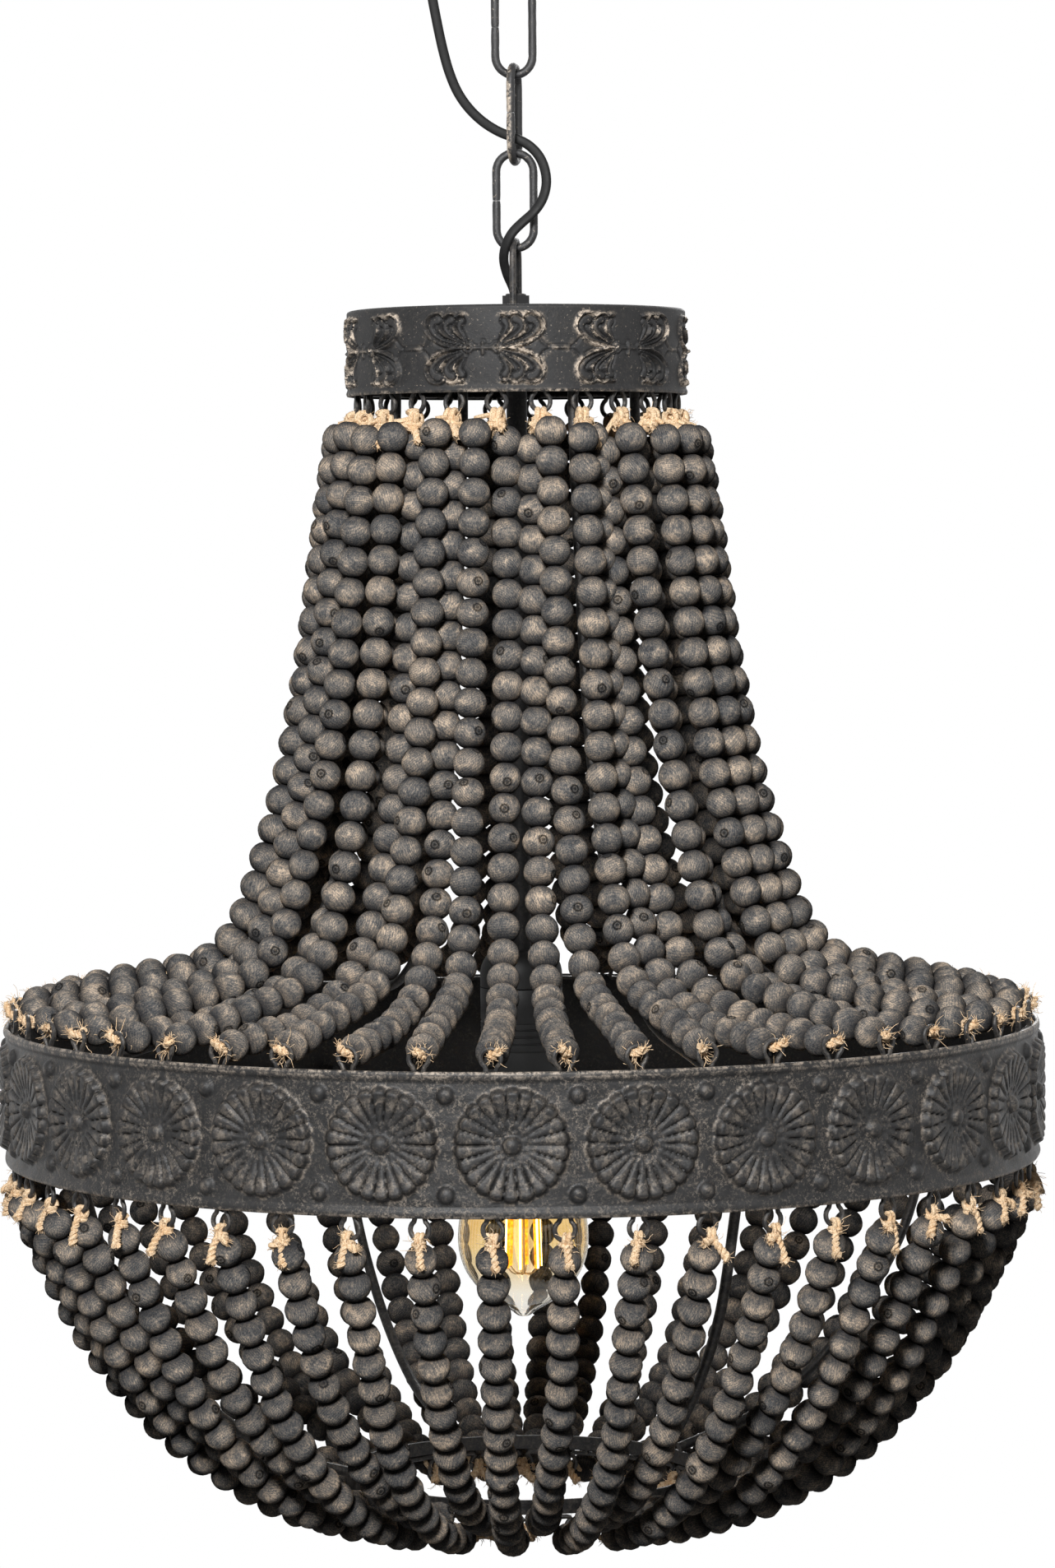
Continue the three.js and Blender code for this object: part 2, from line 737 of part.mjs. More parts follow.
function lowerRod(degrees) {
  const seat = ringTop + seatGap + (rodDiameter / 2) * Math.cos(Math.PI / 6);
  return wireAlong([
    polar(rodBandRadius, degrees, bandBottom + rodBandOffset),
    polar(bandInner - rodInset, degrees, bandBottom + rodBandOffset),
    ...insetBends(bowlLine(false), degrees),
    polar(ringDiameter / 2 - ringSheet - rodDiameter / 2, degrees, seat),
  ], rodDiameter, 6);
}

// The supply cord's route, from the grip's mouth, through one link, round the next and into the stem
const cordRoute = [
  [-42, 0, -50.3], [-42.3, 0, -60], [-42.1, 0, -72], [-41.1, 0, -84], [-39.3, 0, -95.5],
  [-37, 0, -108], [-34.4, 0.2, -120.5], [-31.3, 0.3, -131.8], [-27.2, 0.3, -141.6], [-21.6, 0.2, -149.6],
  [-14.8, 0.1, -156], [-7.4, 0, -160.6], [0, -0.2, -163.6], [6.8, -0.8, -167.2], [11.8, -2.1, -172.6],
  [14.6, -3.7, -179.5], [15.1, -5.2, -187], [12.9, -6.4, -194.3], [8.6, -7.1, -200.2], [3.4, -7.6, -204.8],
  [-1.5, -8.3, -209.8], [-4.7, -7.5, -216], [-5.7, -5.2, -222.6], [-4.1, -2.5, -229.6], [-1.1, -0.4, -236.8],
  [0, 0, -245], [0, 0, -255],
];

// The cord follows its route in a smooth curve, and then the stem down to the lampholder.
function supplyCord() {
  const route = new THREE.CatmullRomCurve3(cordRoute.map((point) => new THREE.Vector3(...point)));
  const end = new THREE.Vector3(0, 0, holderTop - stemEngagement - cordBelowStem);
  return wireAlong([...route.getSpacedPoints(cordSteps), end], cordDiameter, cordSides);
}

// Assembly

const ceiling = new THREE.Group();
ceiling.add(named("ceiling_bracket", ceilingBracket(), blackenedSteel));
ceiling.add(named("canopy", canopy(), blackenedSteel));
ceiling.add(named("canopy_loop", canopyLoop(), blackenedSteel));
const canopyNutLow = canopyBottom - seatGap - canopyNutHeight;
const canopyNut = hexNut(canopyNutFlats, shankBore, canopyNutHeight, canopyNutLow, 0);
ceiling.add(named("canopy_nut", canopyNut, blackenedSteel));
ceiling.add(named("cord_grip", cordGrip(), blackPlastic));

const chain = new THREE.Group();
for (let i = 0; i < linkCount; i++) {
  const link = named(`chain_link_${i}`, chainLink(swingHeight - i * linkPitch), blackenedSteel);
  link.rotation.z = i % 2 === 0 ? Math.PI / 2 : 0;
  chain.add(link);
}

const frame = new THREE.Group();
frame.add(named("lifting_eye", liftingEye(), blackenedSteel));
const topNut = hexNut(stemNutFlats, stemNutBore, stemNutHeight, stemNutBottom, Math.PI / 2);
frame.add(named("stem_nut", topNut, blackenedSteel));
const lockNutLow = plateBottom - seatGap - lockNutHeight;
const lockNut = hexNut(stemNutFlats, stemNutBore, lockNutHeight, lockNutLow, 0);
frame.add(named("stem_lock_nut", lockNut, blackenedSteel));
frame.add(named("drum", drum(), blackenedSteel));
frame.add(named("drum_top_plate", drumTopPlate(), blackenedSteel));
frame.add(named("stem", stem(), blackenedSteel));
frame.add(named("band", band(), blackenedSteel));
frame.add(named("bottom_ring", bottomRing(), blackenedSteel));
const topRun = bandTop - eyeletRunInset;
const bandEyelets = eyeletWireRing(bandEyeletRadius, topRun, 1, bandEyeletCount, firstStrandDegrees);
frame.add(named("band_top_eyelets", bandEyelets, blackenedSteel));
const ringRun = ringBottom - seatGap - eyeletWire / 4;
const firstPairDegrees = firstStrandDegrees + strandDegrees / 2;
const ringEyelets = eyeletWireRing(ringEyeletRadius, ringRun, -1, drumEyeletCount, firstPairDegrees);
frame.add(named("ring_eyelets", ringEyelets, blackenedSteel));
for (let i = 0; i < rodCount; i++) {
  const degrees = rodFirstDegrees + (fullTurn / rodCount) * i;
  frame.add(named(numbered("upper_rod", i), upperRod(degrees), blackenedSteel));
  frame.add(named(numbered("lower_rod", i), lowerRod(degrees), blackenedSteel));
}

const strands = new THREE.Group();
for (let i = 0; i < sectorCount; i++) {
  strands.add(named(numbered("upper_strands", i), upperSector(i), stainedWood));
  strands.add(named(numbered("lower_strands", i), lowerSector(i), stainedWood));
}

const light = new THREE.Group();
light.add(named("lampholder_cap", lampholderCap(), blackPlastic));
light.add(named("lampholder", lampholder(), blackPlastic));
light.add(named("bulb_cap", bulbCap(), nickel));
light.add(named("bulb_glass", bulbGlass(), amberGlass));
light.add(named("bulb_filament", bulbFilament(), glowing));

const chandelier = new THREE.Group();
chandelier.add(ceiling, chain, frame, strands, light, named("supply_cord", supplyCord(), blackPlastic));
export default chandelier;
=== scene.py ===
"""Beaded chandelier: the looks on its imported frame. Shapes are written in millimetres and set in metres."""
from math import cos, pi, radians, sin, tau

import bpy
import numpy as np
from mathutils import Matrix, Vector


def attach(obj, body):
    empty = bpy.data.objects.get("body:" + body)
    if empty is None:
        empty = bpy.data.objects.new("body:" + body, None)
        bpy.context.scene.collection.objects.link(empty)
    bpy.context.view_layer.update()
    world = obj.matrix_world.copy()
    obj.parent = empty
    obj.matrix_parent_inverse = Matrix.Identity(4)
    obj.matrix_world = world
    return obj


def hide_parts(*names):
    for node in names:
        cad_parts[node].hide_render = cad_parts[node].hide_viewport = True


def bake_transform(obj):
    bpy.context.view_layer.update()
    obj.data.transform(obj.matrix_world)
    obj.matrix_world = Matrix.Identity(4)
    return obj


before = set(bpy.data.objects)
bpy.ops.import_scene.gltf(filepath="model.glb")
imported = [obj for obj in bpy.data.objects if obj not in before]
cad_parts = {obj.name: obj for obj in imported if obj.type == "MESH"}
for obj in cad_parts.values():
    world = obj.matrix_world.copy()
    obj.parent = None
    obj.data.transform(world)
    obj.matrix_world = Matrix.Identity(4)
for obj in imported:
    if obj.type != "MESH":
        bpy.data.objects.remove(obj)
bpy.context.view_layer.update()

MM = 0.001

# Camera, at the photograph's viewing angle

EYE = (0.0038, -2.5, -0.3528)
PITCH = radians(2.83)
ROLL = radians(0.45)
LENS = 118.13
FAR_CLIP = 60


def show(obj):
    bpy.context.scene.collection.objects.link(obj)


camera_data = bpy.data.cameras.new("camera")
camera_data.lens = LENS
camera_data.clip_end = FAR_CLIP
camera = bpy.data.objects.new("camera", camera_data)
show(camera)
aim = Matrix.Rotation(pi / 2 - PITCH, 4, "X") @ Matrix.Rotation(-ROLL, 4, "Z")
camera.matrix_world = Matrix.Translation(EYE) @ aim
bpy.context.scene.camera = camera


# Materials

def grey(value):
    return (value, value, value)


WOOD_STOPS = [
    (0.26, (0.045, 0.048, 0.053)), (0.42, (0.108, 0.109, 0.11)),
    (0.56, (0.235, 0.207, 0.178)), (0.72, (0.64, 0.5, 0.37)),
]
WOOD_TAN = (0.5, 0.37, 0.26)
WOOD_DARK = (0.02, 0.02, 0.022)
KNOT_RINGS = [(0, 0.2), (0.16, 0.3), (0.26, 0.75), (0.35, 0.16), (0.45, 0.16), (0.62, 1)]
KNOT_REACH = 4.5
METAL_DARK = (0.011, 0.011, 0.0116)
METAL_LIGHT = (0.03, 0.0295, 0.03)
METAL_DUST = (0.25, 0.215, 0.18)
METAL_BARE = (0.5, 0.42, 0.34)
JUTE_STOPS = [(0.3, (0.42, 0.25, 0.12)), (0.48, (0.74, 0.53, 0.33)), (0.66, (0.95, 0.78, 0.57))]
JUTE_BROWN = (0.7, 0.4, 0.17)
CORD_STOPS = [(0.3, grey(0.008)), (0.75, grey(0.016))]
PLASTIC_STOPS = [(0.3, grey(0.012)), (0.75, grey(0.02))]
NICKEL_STOPS = [(0.3, (0.42, 0.37, 0.3)), (0.7, (0.66, 0.62, 0.55))]
MOUNT_STOPS = [(0.35, (0.85, 0.68, 0.4)), (0.7, (0.9, 0.8, 0.6))]
GLASS_STOPS = [(0.35, (0.9, 0.7, 0.38)), (0.7, (0.97, 0.84, 0.58))]
GLASS_CLEAR = (0.97, 0.95, 0.9)
CLEAR_FROM, CLEAR_TO = -700, -728
STRIP_STOPS = [(0.35, (0.16, 0.055, 0.004)), (0.65, (0.3, 0.13, 0.008))]
STRIP_HOT = (1, 0.8, 0.42)


class Graph:
    """A node tree with short ways to add to it."""

    def __init__(self, tree):
        self.tree = tree

    def node(self, kind, inputs=(), output=0, **settings):
        """Adds a shader node. Its inputs, sockets or values, come by name or in order."""
        made = self.tree.nodes.new("ShaderNode" + kind)
        for key, value in settings.items():
            setattr(made, key, value)
        for key, value in inputs.items() if isinstance(inputs, dict) else enumerate(inputs):
            if isinstance(value, bpy.types.NodeSocket):
                self.tree.links.new(value, made.inputs[key])
            else:
                made.inputs[key].default_value = value
        return made.outputs[output]

    def attribute(self, name, output="Fac"):
        return self.node("Attribute", (), output, attribute_name=name)

    def vector(self, operation, a, b, output="Vector"):
        return self.node("VectorMath", (a, b), output, operation=operation)

    def place(self):
        """The rest position in millimetres."""
        return self.vector("MULTIPLY", self.attribute("rest_place", "Vector"), (1000, 1000, 1000))

    def noise(self, vector, scale, detail, roughness, distortion=0, w=None):
        inputs = {"Vector": vector, "Scale": scale, "Detail": detail, "Roughness": roughness,
                  "Distortion": distortion}
        if w is None:
            return self.node("TexNoise", inputs)
        return self.node("TexNoise", {**inputs, "W": w}, noise_dimensions="4D")

    def math(self, operation, a, b, clamp=False):
        return self.node("Math", (a, b), operation=operation, use_clamp=clamp)

    def plus(self, a, b):
        return self.math("ADD", a, b)

    def times(self, a, b, clamp=False):
        return self.math("MULTIPLY", a, b, clamp)

    def spread(self, value, low, high, to_low=0, to_high=1):
        return self.node("MapRange", (value, low, high, to_low, to_high))

    def either_way(self, value, amount):
        return self.spread(value, 0, 1, -amount, amount)

    def mix(self, factor, first, second, blend="MIX"):
        """Blends the colour of a socket with another's or with an (r, g, b)."""
        if not isinstance(second, bpy.types.NodeSocket):
            second = (*second, 1)
        return self.node("Mix", {0: factor, 6: first, 7: second}, 2, data_type="RGBA", blend_type=blend)

    def ramp(self, value, stops):
        made = self.node("ValToRGB", (value,))
        points = made.node.color_ramp.elements
        while len(points) < len(stops):
            points.new(0.5)
        for point, (place, colour) in zip(points, stops):
            point.position = place
            point.color = (*colour, 1)
        return made

    def seen_directly(self, shown, otherwise, output):
        """One closure for the camera, gloss and glass, and the other for everything else."""
        rays = self.node("LightPath").node.outputs
        either = self.math("MAXIMUM", rays["Is Camera Ray"], rays["Is Transmission Ray"])
        either = self.math("MAXIMUM", either, rays["Is Glossy Ray"])
        mixed = self.node("MixShader", (either, otherwise, shown))
        self.tree.links.new(mixed, self.tree.nodes[output].inputs["Surface"])


class Paint(Graph):
    """A material, built from its colour back. Its slot argument is stored, but nothing reads it."""

    def __init__(self, name, slot=None):
        self.slot = slot
        self.material = bpy.data.materials.new(name)
        self.material.use_nodes = True
        super().__init__(self.material.node_tree)
        self.shader = self.tree.nodes["Principled BSDF"]

    def set(self, **values):
        for key, value in values.items():
            self.shader.inputs[key.replace("_", " ")].default_value = value

    def join(self, source, key):
        self.tree.links.new(source, self.shader.inputs[key])

    def bump(self, height, strength, distance):
        bumpy = {"Height": height, "Strength": strength, "Distance": distance}
        self.join(self.node("Bump", bumpy), "Normal")


def wood_paint():
    """Stained wood: slate grey over tan, with scratched grain, small ring-shaped knots, and painted shade
    that darkens each bead towards its holes, where it meets its neighbours.
    """
    p = Paint("stained_wood_beads", "stained_wood")
    p.set(IOR=1.01)
    where = p.attribute("bead_place", "Vector")
    own = p.attribute("bead_chance")
    seed = p.times(own, 40)
    patches = p.noise(where, 0.16, 3, 0.55, 0.6, w=seed)
    grain = p.noise(p.vector("MULTIPLY", where, (1, 1, 0.4)), 1.9, 4, 0.85, 0.5, w=seed)
    specks = p.noise(where, 1.5, 3, 0.75, w=seed)
    shifted = p.vector("ADD", where, p.attribute("grain_shift", "Vector"))
    lines = p.node("TexWave", {
        "Vector": shifted, "Scale": 0.32, "Distortion": 5, "Detail": 3, "Detail Scale": 0.9,
    }, "Fac", wave_type="RINGS", rings_direction="SPHERICAL")
    tone = p.plus(p.either_way(patches, 0.34), p.either_way(grain, 0.55))
    tone = p.plus(tone, p.either_way(lines, 0.04))
    tone = p.plus(tone, p.spread(own, 0, 1, 0.42, 0.56))
    colour = p.ramp(tone, WOOD_STOPS)
    colour = p.mix(p.spread(specks, 0.56, 0.72, 0, 0.6), colour, WOOD_TAN)
    colour = p.mix(p.spread(specks, 0.42, 0.3, 0, 0.7), colour, WOOD_DARK)
    from_knot = p.vector("DISTANCE", where, p.attribute("knot_place", "Vector"), "Value")
    ring = p.math("DIVIDE", p.plus(from_knot, p.either_way(specks, 0.9)), KNOT_REACH)
    rings = p.ramp(ring, [(place, grey(shade)) for place, shade in KNOT_RINGS])
    colour = p.mix(1, colour, rings, "MULTIPLY")
    # Painted shade: each bead is darkened towards its holes, where the neighbouring beads shade it.
    colour = p.mix(p.times(p.attribute("near_hole"), 0.9), colour, WOOD_DARK)
    p.join(colour, "Base Color")
    p.join(p.spread(grain, 0.3, 0.7, 0.55, 0.8), "Roughness")
    p.bump(p.plus(p.times(grain, 0.8), p.times(lines, 0.12)), 0.5, 0.0005)
    return p


def metal_paint(name, dust, wear, chips=0, dull=0, tone=1):
    """Blackened steel: near black, mottled, with dust in the hollows and paint worn off the high edges."""
    p = Paint(name, "blackened_steel")
    p.set(Metallic=0.3, Specular_IOR_Level=0.45)
    where = p.place()
    patches = p.noise(where, 0.09, 4, 0.65, 0.4)
    grit = p.noise(where, 0.75, 4, 0.8)
    clumps = p.noise(where, 0.22, 4, 0.7, 0.8)
    smudge = p.noise(where, 0.03, 3, 0.6, 1)
    dark, light = (tuple(tone * part for part in shade) for shade in (METAL_DARK, METAL_LIGHT))
    colour = p.ramp(patches, [(0.3, dark), (0.7, light)])
    dusty = p.times(p.spread(grit, 0.48, 0.6), p.spread(clumps, 0.42, 0.62))
    dusty = p.times(dusty, p.spread(smudge, 0.36, 0.6, 0.3))
    dusty = p.times(dusty, p.times(p.attribute("hollow"), dust), clamp=True)
    colour = p.mix(dusty, colour, METAL_DUST)
    scratches = p.spread(p.noise(where, 0.4, 4, 0.75), 0.4, 0.55)
    rubbed = p.times(scratches, p.spread(clumps, 0.42, 0.54, 0.05))
    rubbed = p.times(rubbed, p.times(p.attribute("worn"), wear), clamp=True)
    colour = p.mix(rubbed, colour, METAL_BARE)
    if chips:
        colour = p.mix(p.spread(p.noise(where, 0.8, 2, 0.6), 0.66, 0.7, 0, chips), colour, METAL_BARE)
    p.join(colour, "Base Color")
    roughness = p.spread(patches, 0.3, 0.7, 0.38 + dull, 0.55 + dull)
    p.join(p.plus(roughness, p.times(dusty, 0.35)), "Roughness")
    p.bump(p.plus(p.times(grit, 0.7), patches), 0.5, 0.0007)
    return p


def jute_paint():
    p = Paint("jute_cord", "stained_wood")
    p.set(Specular_IOR_Level=0.15, Roughness=0.92)
    where = p.place()
    strands = p.noise(where, 1.6, 3, 0.7)
    browner = p.spread(p.noise(where, 0.12, 2, 0.5), 0.5, 0.8, 0, 0.5)
    p.join(p.mix(browner, p.ramp(strands, JUTE_STOPS), JUTE_BROWN), "Base Color")
    p.bump(strands, 0.6, 0.0006)
    return p


def plain_paint(name, slot, noise, stops, roughness=None, bump=None, **values):
    """One noise of (scale, detail, roughness) gives the colour and, where set, roughness and bump."""
    p = Paint(name, slot)
    p.set(**values)
    pattern = p.noise(p.place(), *noise)
    p.join(p.ramp(pattern, stops), "Base Color")
    if roughness:
        p.join(p.spread(pattern, 0.3, 0.7, *roughness), "Roughness")
    if bump:
        p.bump(pattern, *bump)
    return p


def glass_paint():
    p = Paint("amber_bulb_glass", "amber_glass")
    p.set(Transmission_Weight=1, IOR=1.3, Roughness=0.02, Coat_Weight=0.5)
    height = p.node("SeparateXYZ", (p.place(),), "Z")
    colour = p.ramp(p.noise(p.place(), 0.05, 2, 0.5), GLASS_STOPS)
    p.join(p.mix(p.spread(height, CLEAR_FROM, CLEAR_TO), colour, GLASS_CLEAR), "Base Color")
    return p


def filament_paint():
    """A dull lit strip whose hot side shows almost white."""
    p = Paint("lit_filament", "glowing_filament")
    p.set(Roughness=0.6, Emission_Strength=9)
    strip = p.ramp(p.noise(p.place(), 0.6, 2, 0.5), STRIP_STOPS)
    colour = p.mix(p.attribute("hot"), strip, STRIP_HOT)
    p.join(colour, "Base Color")
    p.join(colour, "Emission Color")
    return p


wood = wood_paint()
band_metal = metal_paint("blackened_band_metal", dust=1, wear=0.7, tone=0.76)
drum_metal = metal_paint("blackened_drum_metal", dust=0.25, wear=2, chips=0.3, dull=0.14, tone=0.84)
wire_metal = metal_paint("blackened_wire", dust=0.12, wear=0.35, chips=0.1)
chain_metal = metal_paint("blackened_chain", dust=0, wear=1, chips=0.35, tone=1.6)
jute = jute_paint()
cord_black = plain_paint("black_flex", "black_cord", (0.3, 3, 0.6), CORD_STOPS, (0.5, 0.62), (0.12, 0.0003),
                         Specular_IOR_Level=0.16)
black_plastic = plain_paint("moulded_black_plastic", "black_plastic", (1.2, 3, 0.6), PLASTIC_STOPS,
                            (0.42, 0.55), (0.15, 0.0003))
nickel = plain_paint("nickelled_brass", "nickel_cap", (0.25, 4, 0.6), NICKEL_STOPS, (0.25, 0.42),
                     (0.1, 0.0003), Metallic=1)
amber_glass = glass_paint()
lit_filament = filament_paint()
mount_glass = plain_paint("glass_mount", "glowing_filament", (0.3, 2, 0.5), MOUNT_STOPS,
                          Roughness=0.12, Transmission_Weight=0.7, IOR=1.4)


# Mesh helpers

def grid_faces(rows, columns, closed=True):
    """Quads of a grid that wraps round in its columns and, if closed, in its rows."""
    index = np.arange(rows * columns).reshape(rows, columns)
    after = np.roll(index, -1, axis=1)
    faces = np.stack([index, after, np.roll(after, -1, axis=0), np.roll(index, -1, axis=0)], 2)
    return faces[:rows if closed else rows - 1].reshape(-1, 4).tolist()


def end_caps(count, sides):
    return [range(sides)[::-1], range(count - sides, count)]


class Shape:
    """Vertices, faces and vertex values that grow into one mesh."""

    def __init__(self):
        self.verts = []
        self.faces = []
        self.values = {}
        self.count = 0

    def add(self, verts, faces, **values):
        """A value is given for each vertex, or as one number or vector for all of them."""
        verts = np.asarray(verts, float)
        self.verts.append(verts)
        self.faces.extend([tuple(int(i) + self.count for i in face) for face in faces])
        self.count += len(verts)
        for name, value in values.items():
            value = np.asarray(value, float)
            if value.shape in ((), (3,)):
                value = np.broadcast_to(value, (len(verts), *value.shape))
            self.values.setdefault(name, []).append(value)
        return self

    def tube(self, points, radius, sides, closed=False, section=None, **values):
        """A section, where given, lists the (normal, binormal) shares of the radius."""
        points = np.asarray(points, float)
        count = len(points)
        if closed:
            wrapped = np.concatenate([points[-2:], points, points[:2]])
            _, normals, binormals = (part[2:-2] for part in frames_along(wrapped))
        else:
            _, normals, binormals = frames_along(points)
        if section is None:
            angles = np.arange(sides) * tau / sides
            section = np.stack([np.cos(angles), np.sin(angles)], 1)
        section = np.asarray(section, float)[None, :, :, None]
        radius = np.broadcast_to(np.asarray(radius, float), (count,))[:, None, None]
        across = section[:, :, 0] * normals[:, None] + section[:, :, 1] * binormals[:, None]
        faces = grid_faces(count, sides, closed)
        if not closed:
            faces += end_caps(count * sides, sides)
        return self.add((points[:, None] + radius * across).reshape(-1, 3), faces, **values)

    def lathe(self, profile, segments, centre=(0, 0), closed=True, **values):
        """A body of revolution about a vertical axis. The profile is anticlockwise [radius, height]."""
        rings, verts = [], []
        angles = np.arange(segments) * tau / segments
        for r, z in profile:
            if r < 1e-6:
                rings.append([len(verts)] * segments)
                verts.append((centre[0], centre[1], z))
            else:
                rings.append(list(range(len(verts), len(verts) + segments)))
                verts.extend((centre[0] + r * cos(a), centre[1] + r * sin(a), z) for a in angles)
        faces = []
        for low, high in zip(rings, rings[1:] + rings[:1] if closed else rings[1:]):
            for k in range(segments):
                m = (k + 1) % segments
                corners = [low[k], low[m], high[m], high[k]]
                face = [c for i, c in enumerate(corners) if c != corners[i - 1]]
                if len(face) > 2:
                    faces.append(face)
        return self.add(verts, faces, **values)


def piece(name, shape, paint, *nodes, body="lamp", sharp=40):
    """One object from a Shape, riding on its body and standing for its CAD nodes."""
    verts = np.concatenate(shape.verts) * MM
    mesh = bpy.data.meshes.new(name)
    mesh.from_pydata(verts.tolist(), [], shape.faces)
    values = {key: np.concatenate(value) for key, value in shape.values.items()}
    for key, value in {**values, "rest_place": verts}.items():
        kind, field = ("FLOAT", "value") if value.ndim == 1 else ("FLOAT_VECTOR", "vector")
        layer = mesh.attributes.new(key, kind, "POINT")
        layer.data.foreach_set(field, value.astype(np.float32).ravel())
    mesh.validate()
    mesh.update()
    mesh.polygons.foreach_set("use_smooth", np.ones(len(mesh.polygons), bool))
    mesh.set_sharp_from_angle(angle=radians(sharp))
    mesh.materials.append(paint.material)
    obj = bpy.data.objects.new(name, mesh)
    show(obj)
    if nodes:
        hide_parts(*nodes)
    if body:
        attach(obj, body)
    return obj


def unit(vector):
    return vector / np.linalg.norm(vector)


def frames_along(points):
    """Tangent, normal and binormal at each point of a path, turning as little as they can."""
    tangents = np.gradient(np.asarray(points, float), axis=0)
    tangents /= np.linalg.norm(tangents, axis=1)[:, None]
    least = np.eye(3)[np.argmin(np.abs(tangents[0]))]
    normals = [unit(np.cross(tangents[0], least))]
    for tangent in tangents[1:]:
        normals.append(unit(normals[-1] - tangent * (normals[-1] @ tangent)))
    normals = np.array(normals)
    return tangents, normals, np.cross(tangents, normals)


def arc(middle, wide, tall, first, last, count):
    """Points from one angle to another on an ellipse of these half sizes."""
    angles = np.radians(np.linspace(first, last, count))
    return [(middle[0] + wide * cos(a), middle[1] + tall * sin(a)) for a in angles]


def ribs(rib, count, radius, height, pitch, growth=0):
    """A rib's outline, as steps from (radius, height), repeated upwards."""
    return [(radius + growth * i + out, height + pitch * i + up) for i in range(count) for out, up in rib]


def round_path(radius, degrees, height):
    """A point at an angle that grows from the front towards the right."""
    angle = radians(degrees)
    return np.array([radius * sin(angle), -radius * cos(angle), height])


def outward_at(degrees):
    return round_path(1, degrees, 0)


def turned(points, degrees):
    """The points, turned about the lamp's axis."""
    c, s = cos(radians(degrees)), sin(radians(degrees))
    return np.asarray(points, float) @ np.array([[c, s, 0], [-s, c, 0], [0, 0, 1]])


def smooth_through(points, per=12):
    """A Catmull-Rom curve through the points, as a dense list."""
    points = np.asarray(points, float)
    ends = np.concatenate([[2 * points[0] - points[1]], points, [2 * points[-1] - points[-2]]])
    made = []
    for a, b, c, d in zip(ends, ends[1:], ends[2:], ends[3:]):
        for t in np.arange(per) / per:
            made.append(0.5 * (2 * b + (c - a) * t + (2 * a - 5 * b + 4 * c - d) * t**2
                               + (3 * b - a - 3 * c + d) * t**3))
    made.append(points[-1])
    return np.array(made)


def run_along(points):
    """How far along the path each point is."""
    return np.concatenate([[0], np.cumsum(np.linalg.norm(np.diff(points, axis=0), axis=1))])


def at_run(at, run, values):
    """The values, which are known at each run, at other places along the path."""
    return np.stack([np.interp(at, run, column) for column in values.T], -1)


def even(points, count):
    """The same path with its points at equal distances."""
    points = np.asarray(points, float)
    run = run_along(points)
    return at_run(np.linspace(0, run[-1], count), run, points)


def bell(distance, width):
    return np.exp(-(distance / width) ** 2)


def step(value, low, high):
    t = np.clip((value - low) / (high - low), 0, 1)
    return t * t * (3 - 2 * t)


def dome(distance, radius):
    return np.sqrt(np.clip(1 - (distance / radius) ** 2, 0, 1))


rng = np.random.default_rng(11)
between, scatter = rng.uniform, rng.standard_normal

# Supply cord: a flat twin lead from the grip, through the chain, into the stem

CORD_ROUTE = [
    (-42, 0, -50.3), (-42.3, 0, -60), (-42.1, 0, -72), (-41.1, 0, -84), (-39.3, 0, -95.5),
    (-37, 0, -108), (-34.4, 0.2, -120.5), (-31.3, 0.3, -131.8), (-27.2, 0.3, -141.6), (-21.6, 0.2, -149.6),
    (-14.8, 0.1, -156), (-7.4, 0, -160.6), (0, -0.2, -163.6), (6.8, -0.8, -167.2), (11.8, -2.1, -172.6),
    (14.6, -3.7, -179.5), (15.1, -5.2, -187), (12.9, -6.4, -194.3), (8.6, -7.1, -200.2), (3.4, -7.6, -204.8),
    (-1.5, -8.3, -209.8), (-4.7, -7.5, -216), (-5.7, -5.2, -222.6), (-4.1, -2.5, -229.6),
    (-1.1, -0.4, -236.8), (0, 0, -245), (0, 0, -255),
]
STRAIGHT_FROM, CORD_END = -275, -570
CORD_WIDTH = 4.8
CORD_THICKNESS = 2.9

cord_bends = even(smooth_through(CORD_ROUTE, 10), 130)
cord_line = np.concatenate([cord_bends, [(0, 0, z) for z in np.linspace(STRAIGHT_FROM, CORD_END, 16)]])
wire_middle = (CORD_WIDTH - CORD_THICKNESS) / 2
right_wire = arc((wire_middle, 0), CORD_THICKNESS / 2, CORD_THICKNESS / 2, -78, 78, 7)
cord_section = right_wire + [(-across, -up) for across, up in right_wire]
cord_shape = Shape().tube(cord_line, 1, len(cord_section), section=cord_section)
cord = piece("supply_flex", cord_shape, cord_black, "supply_cord", body=None)
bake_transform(cord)

# Ceiling end, above the photograph's edge

SWING_HEIGHT = -50
LOOP_RADIUS = 6.5
LOOP_WIRE = 2
GRIP_SIDE = -42
GRIP_RIB = [(0, 0), (0, 1.5), (-0.7, 1.9), (-0.7, 2.4)]
CANOPY_PROFILE = [
    (3.3, -30), *arc((48, -23), 7, 7, -90, 0, 9), (55, -14), (55, -2.2), (55.3, -1.6), (55.3, -0.6),
    (53.8, -0.6), (53.8, -14), *arc((47.6, -22.6), 6.2, 6.2, 0, -90, 7), (3.3, -28.8),
]
SHANK_PROFILE = [(0, -39.5), (2.6, -39.5), (3, -37.5), (3, -4.8), (2.5, -4.3), (0, -4.3)]
GRIP_PROFILE = [
    (2.6, -50), (3.6, -49.8), *ribs(GRIP_RIB, 5, 4.1, -48.4, 2.6, growth=0.34),
    (6, -34.6), (6, -30.4), (4, -30.3), (4, -28.5), (6.3, -28.5), (6.5, -28.1), (6.5, -24.9),
    (6.1, -24.5), (2.6, -24.5),
]

piece("canopy_cup", Shape().lathe(CANOPY_PROFILE, 96, hollow=0.4, worn=0.15), wire_metal, "canopy",
      body="ceiling")

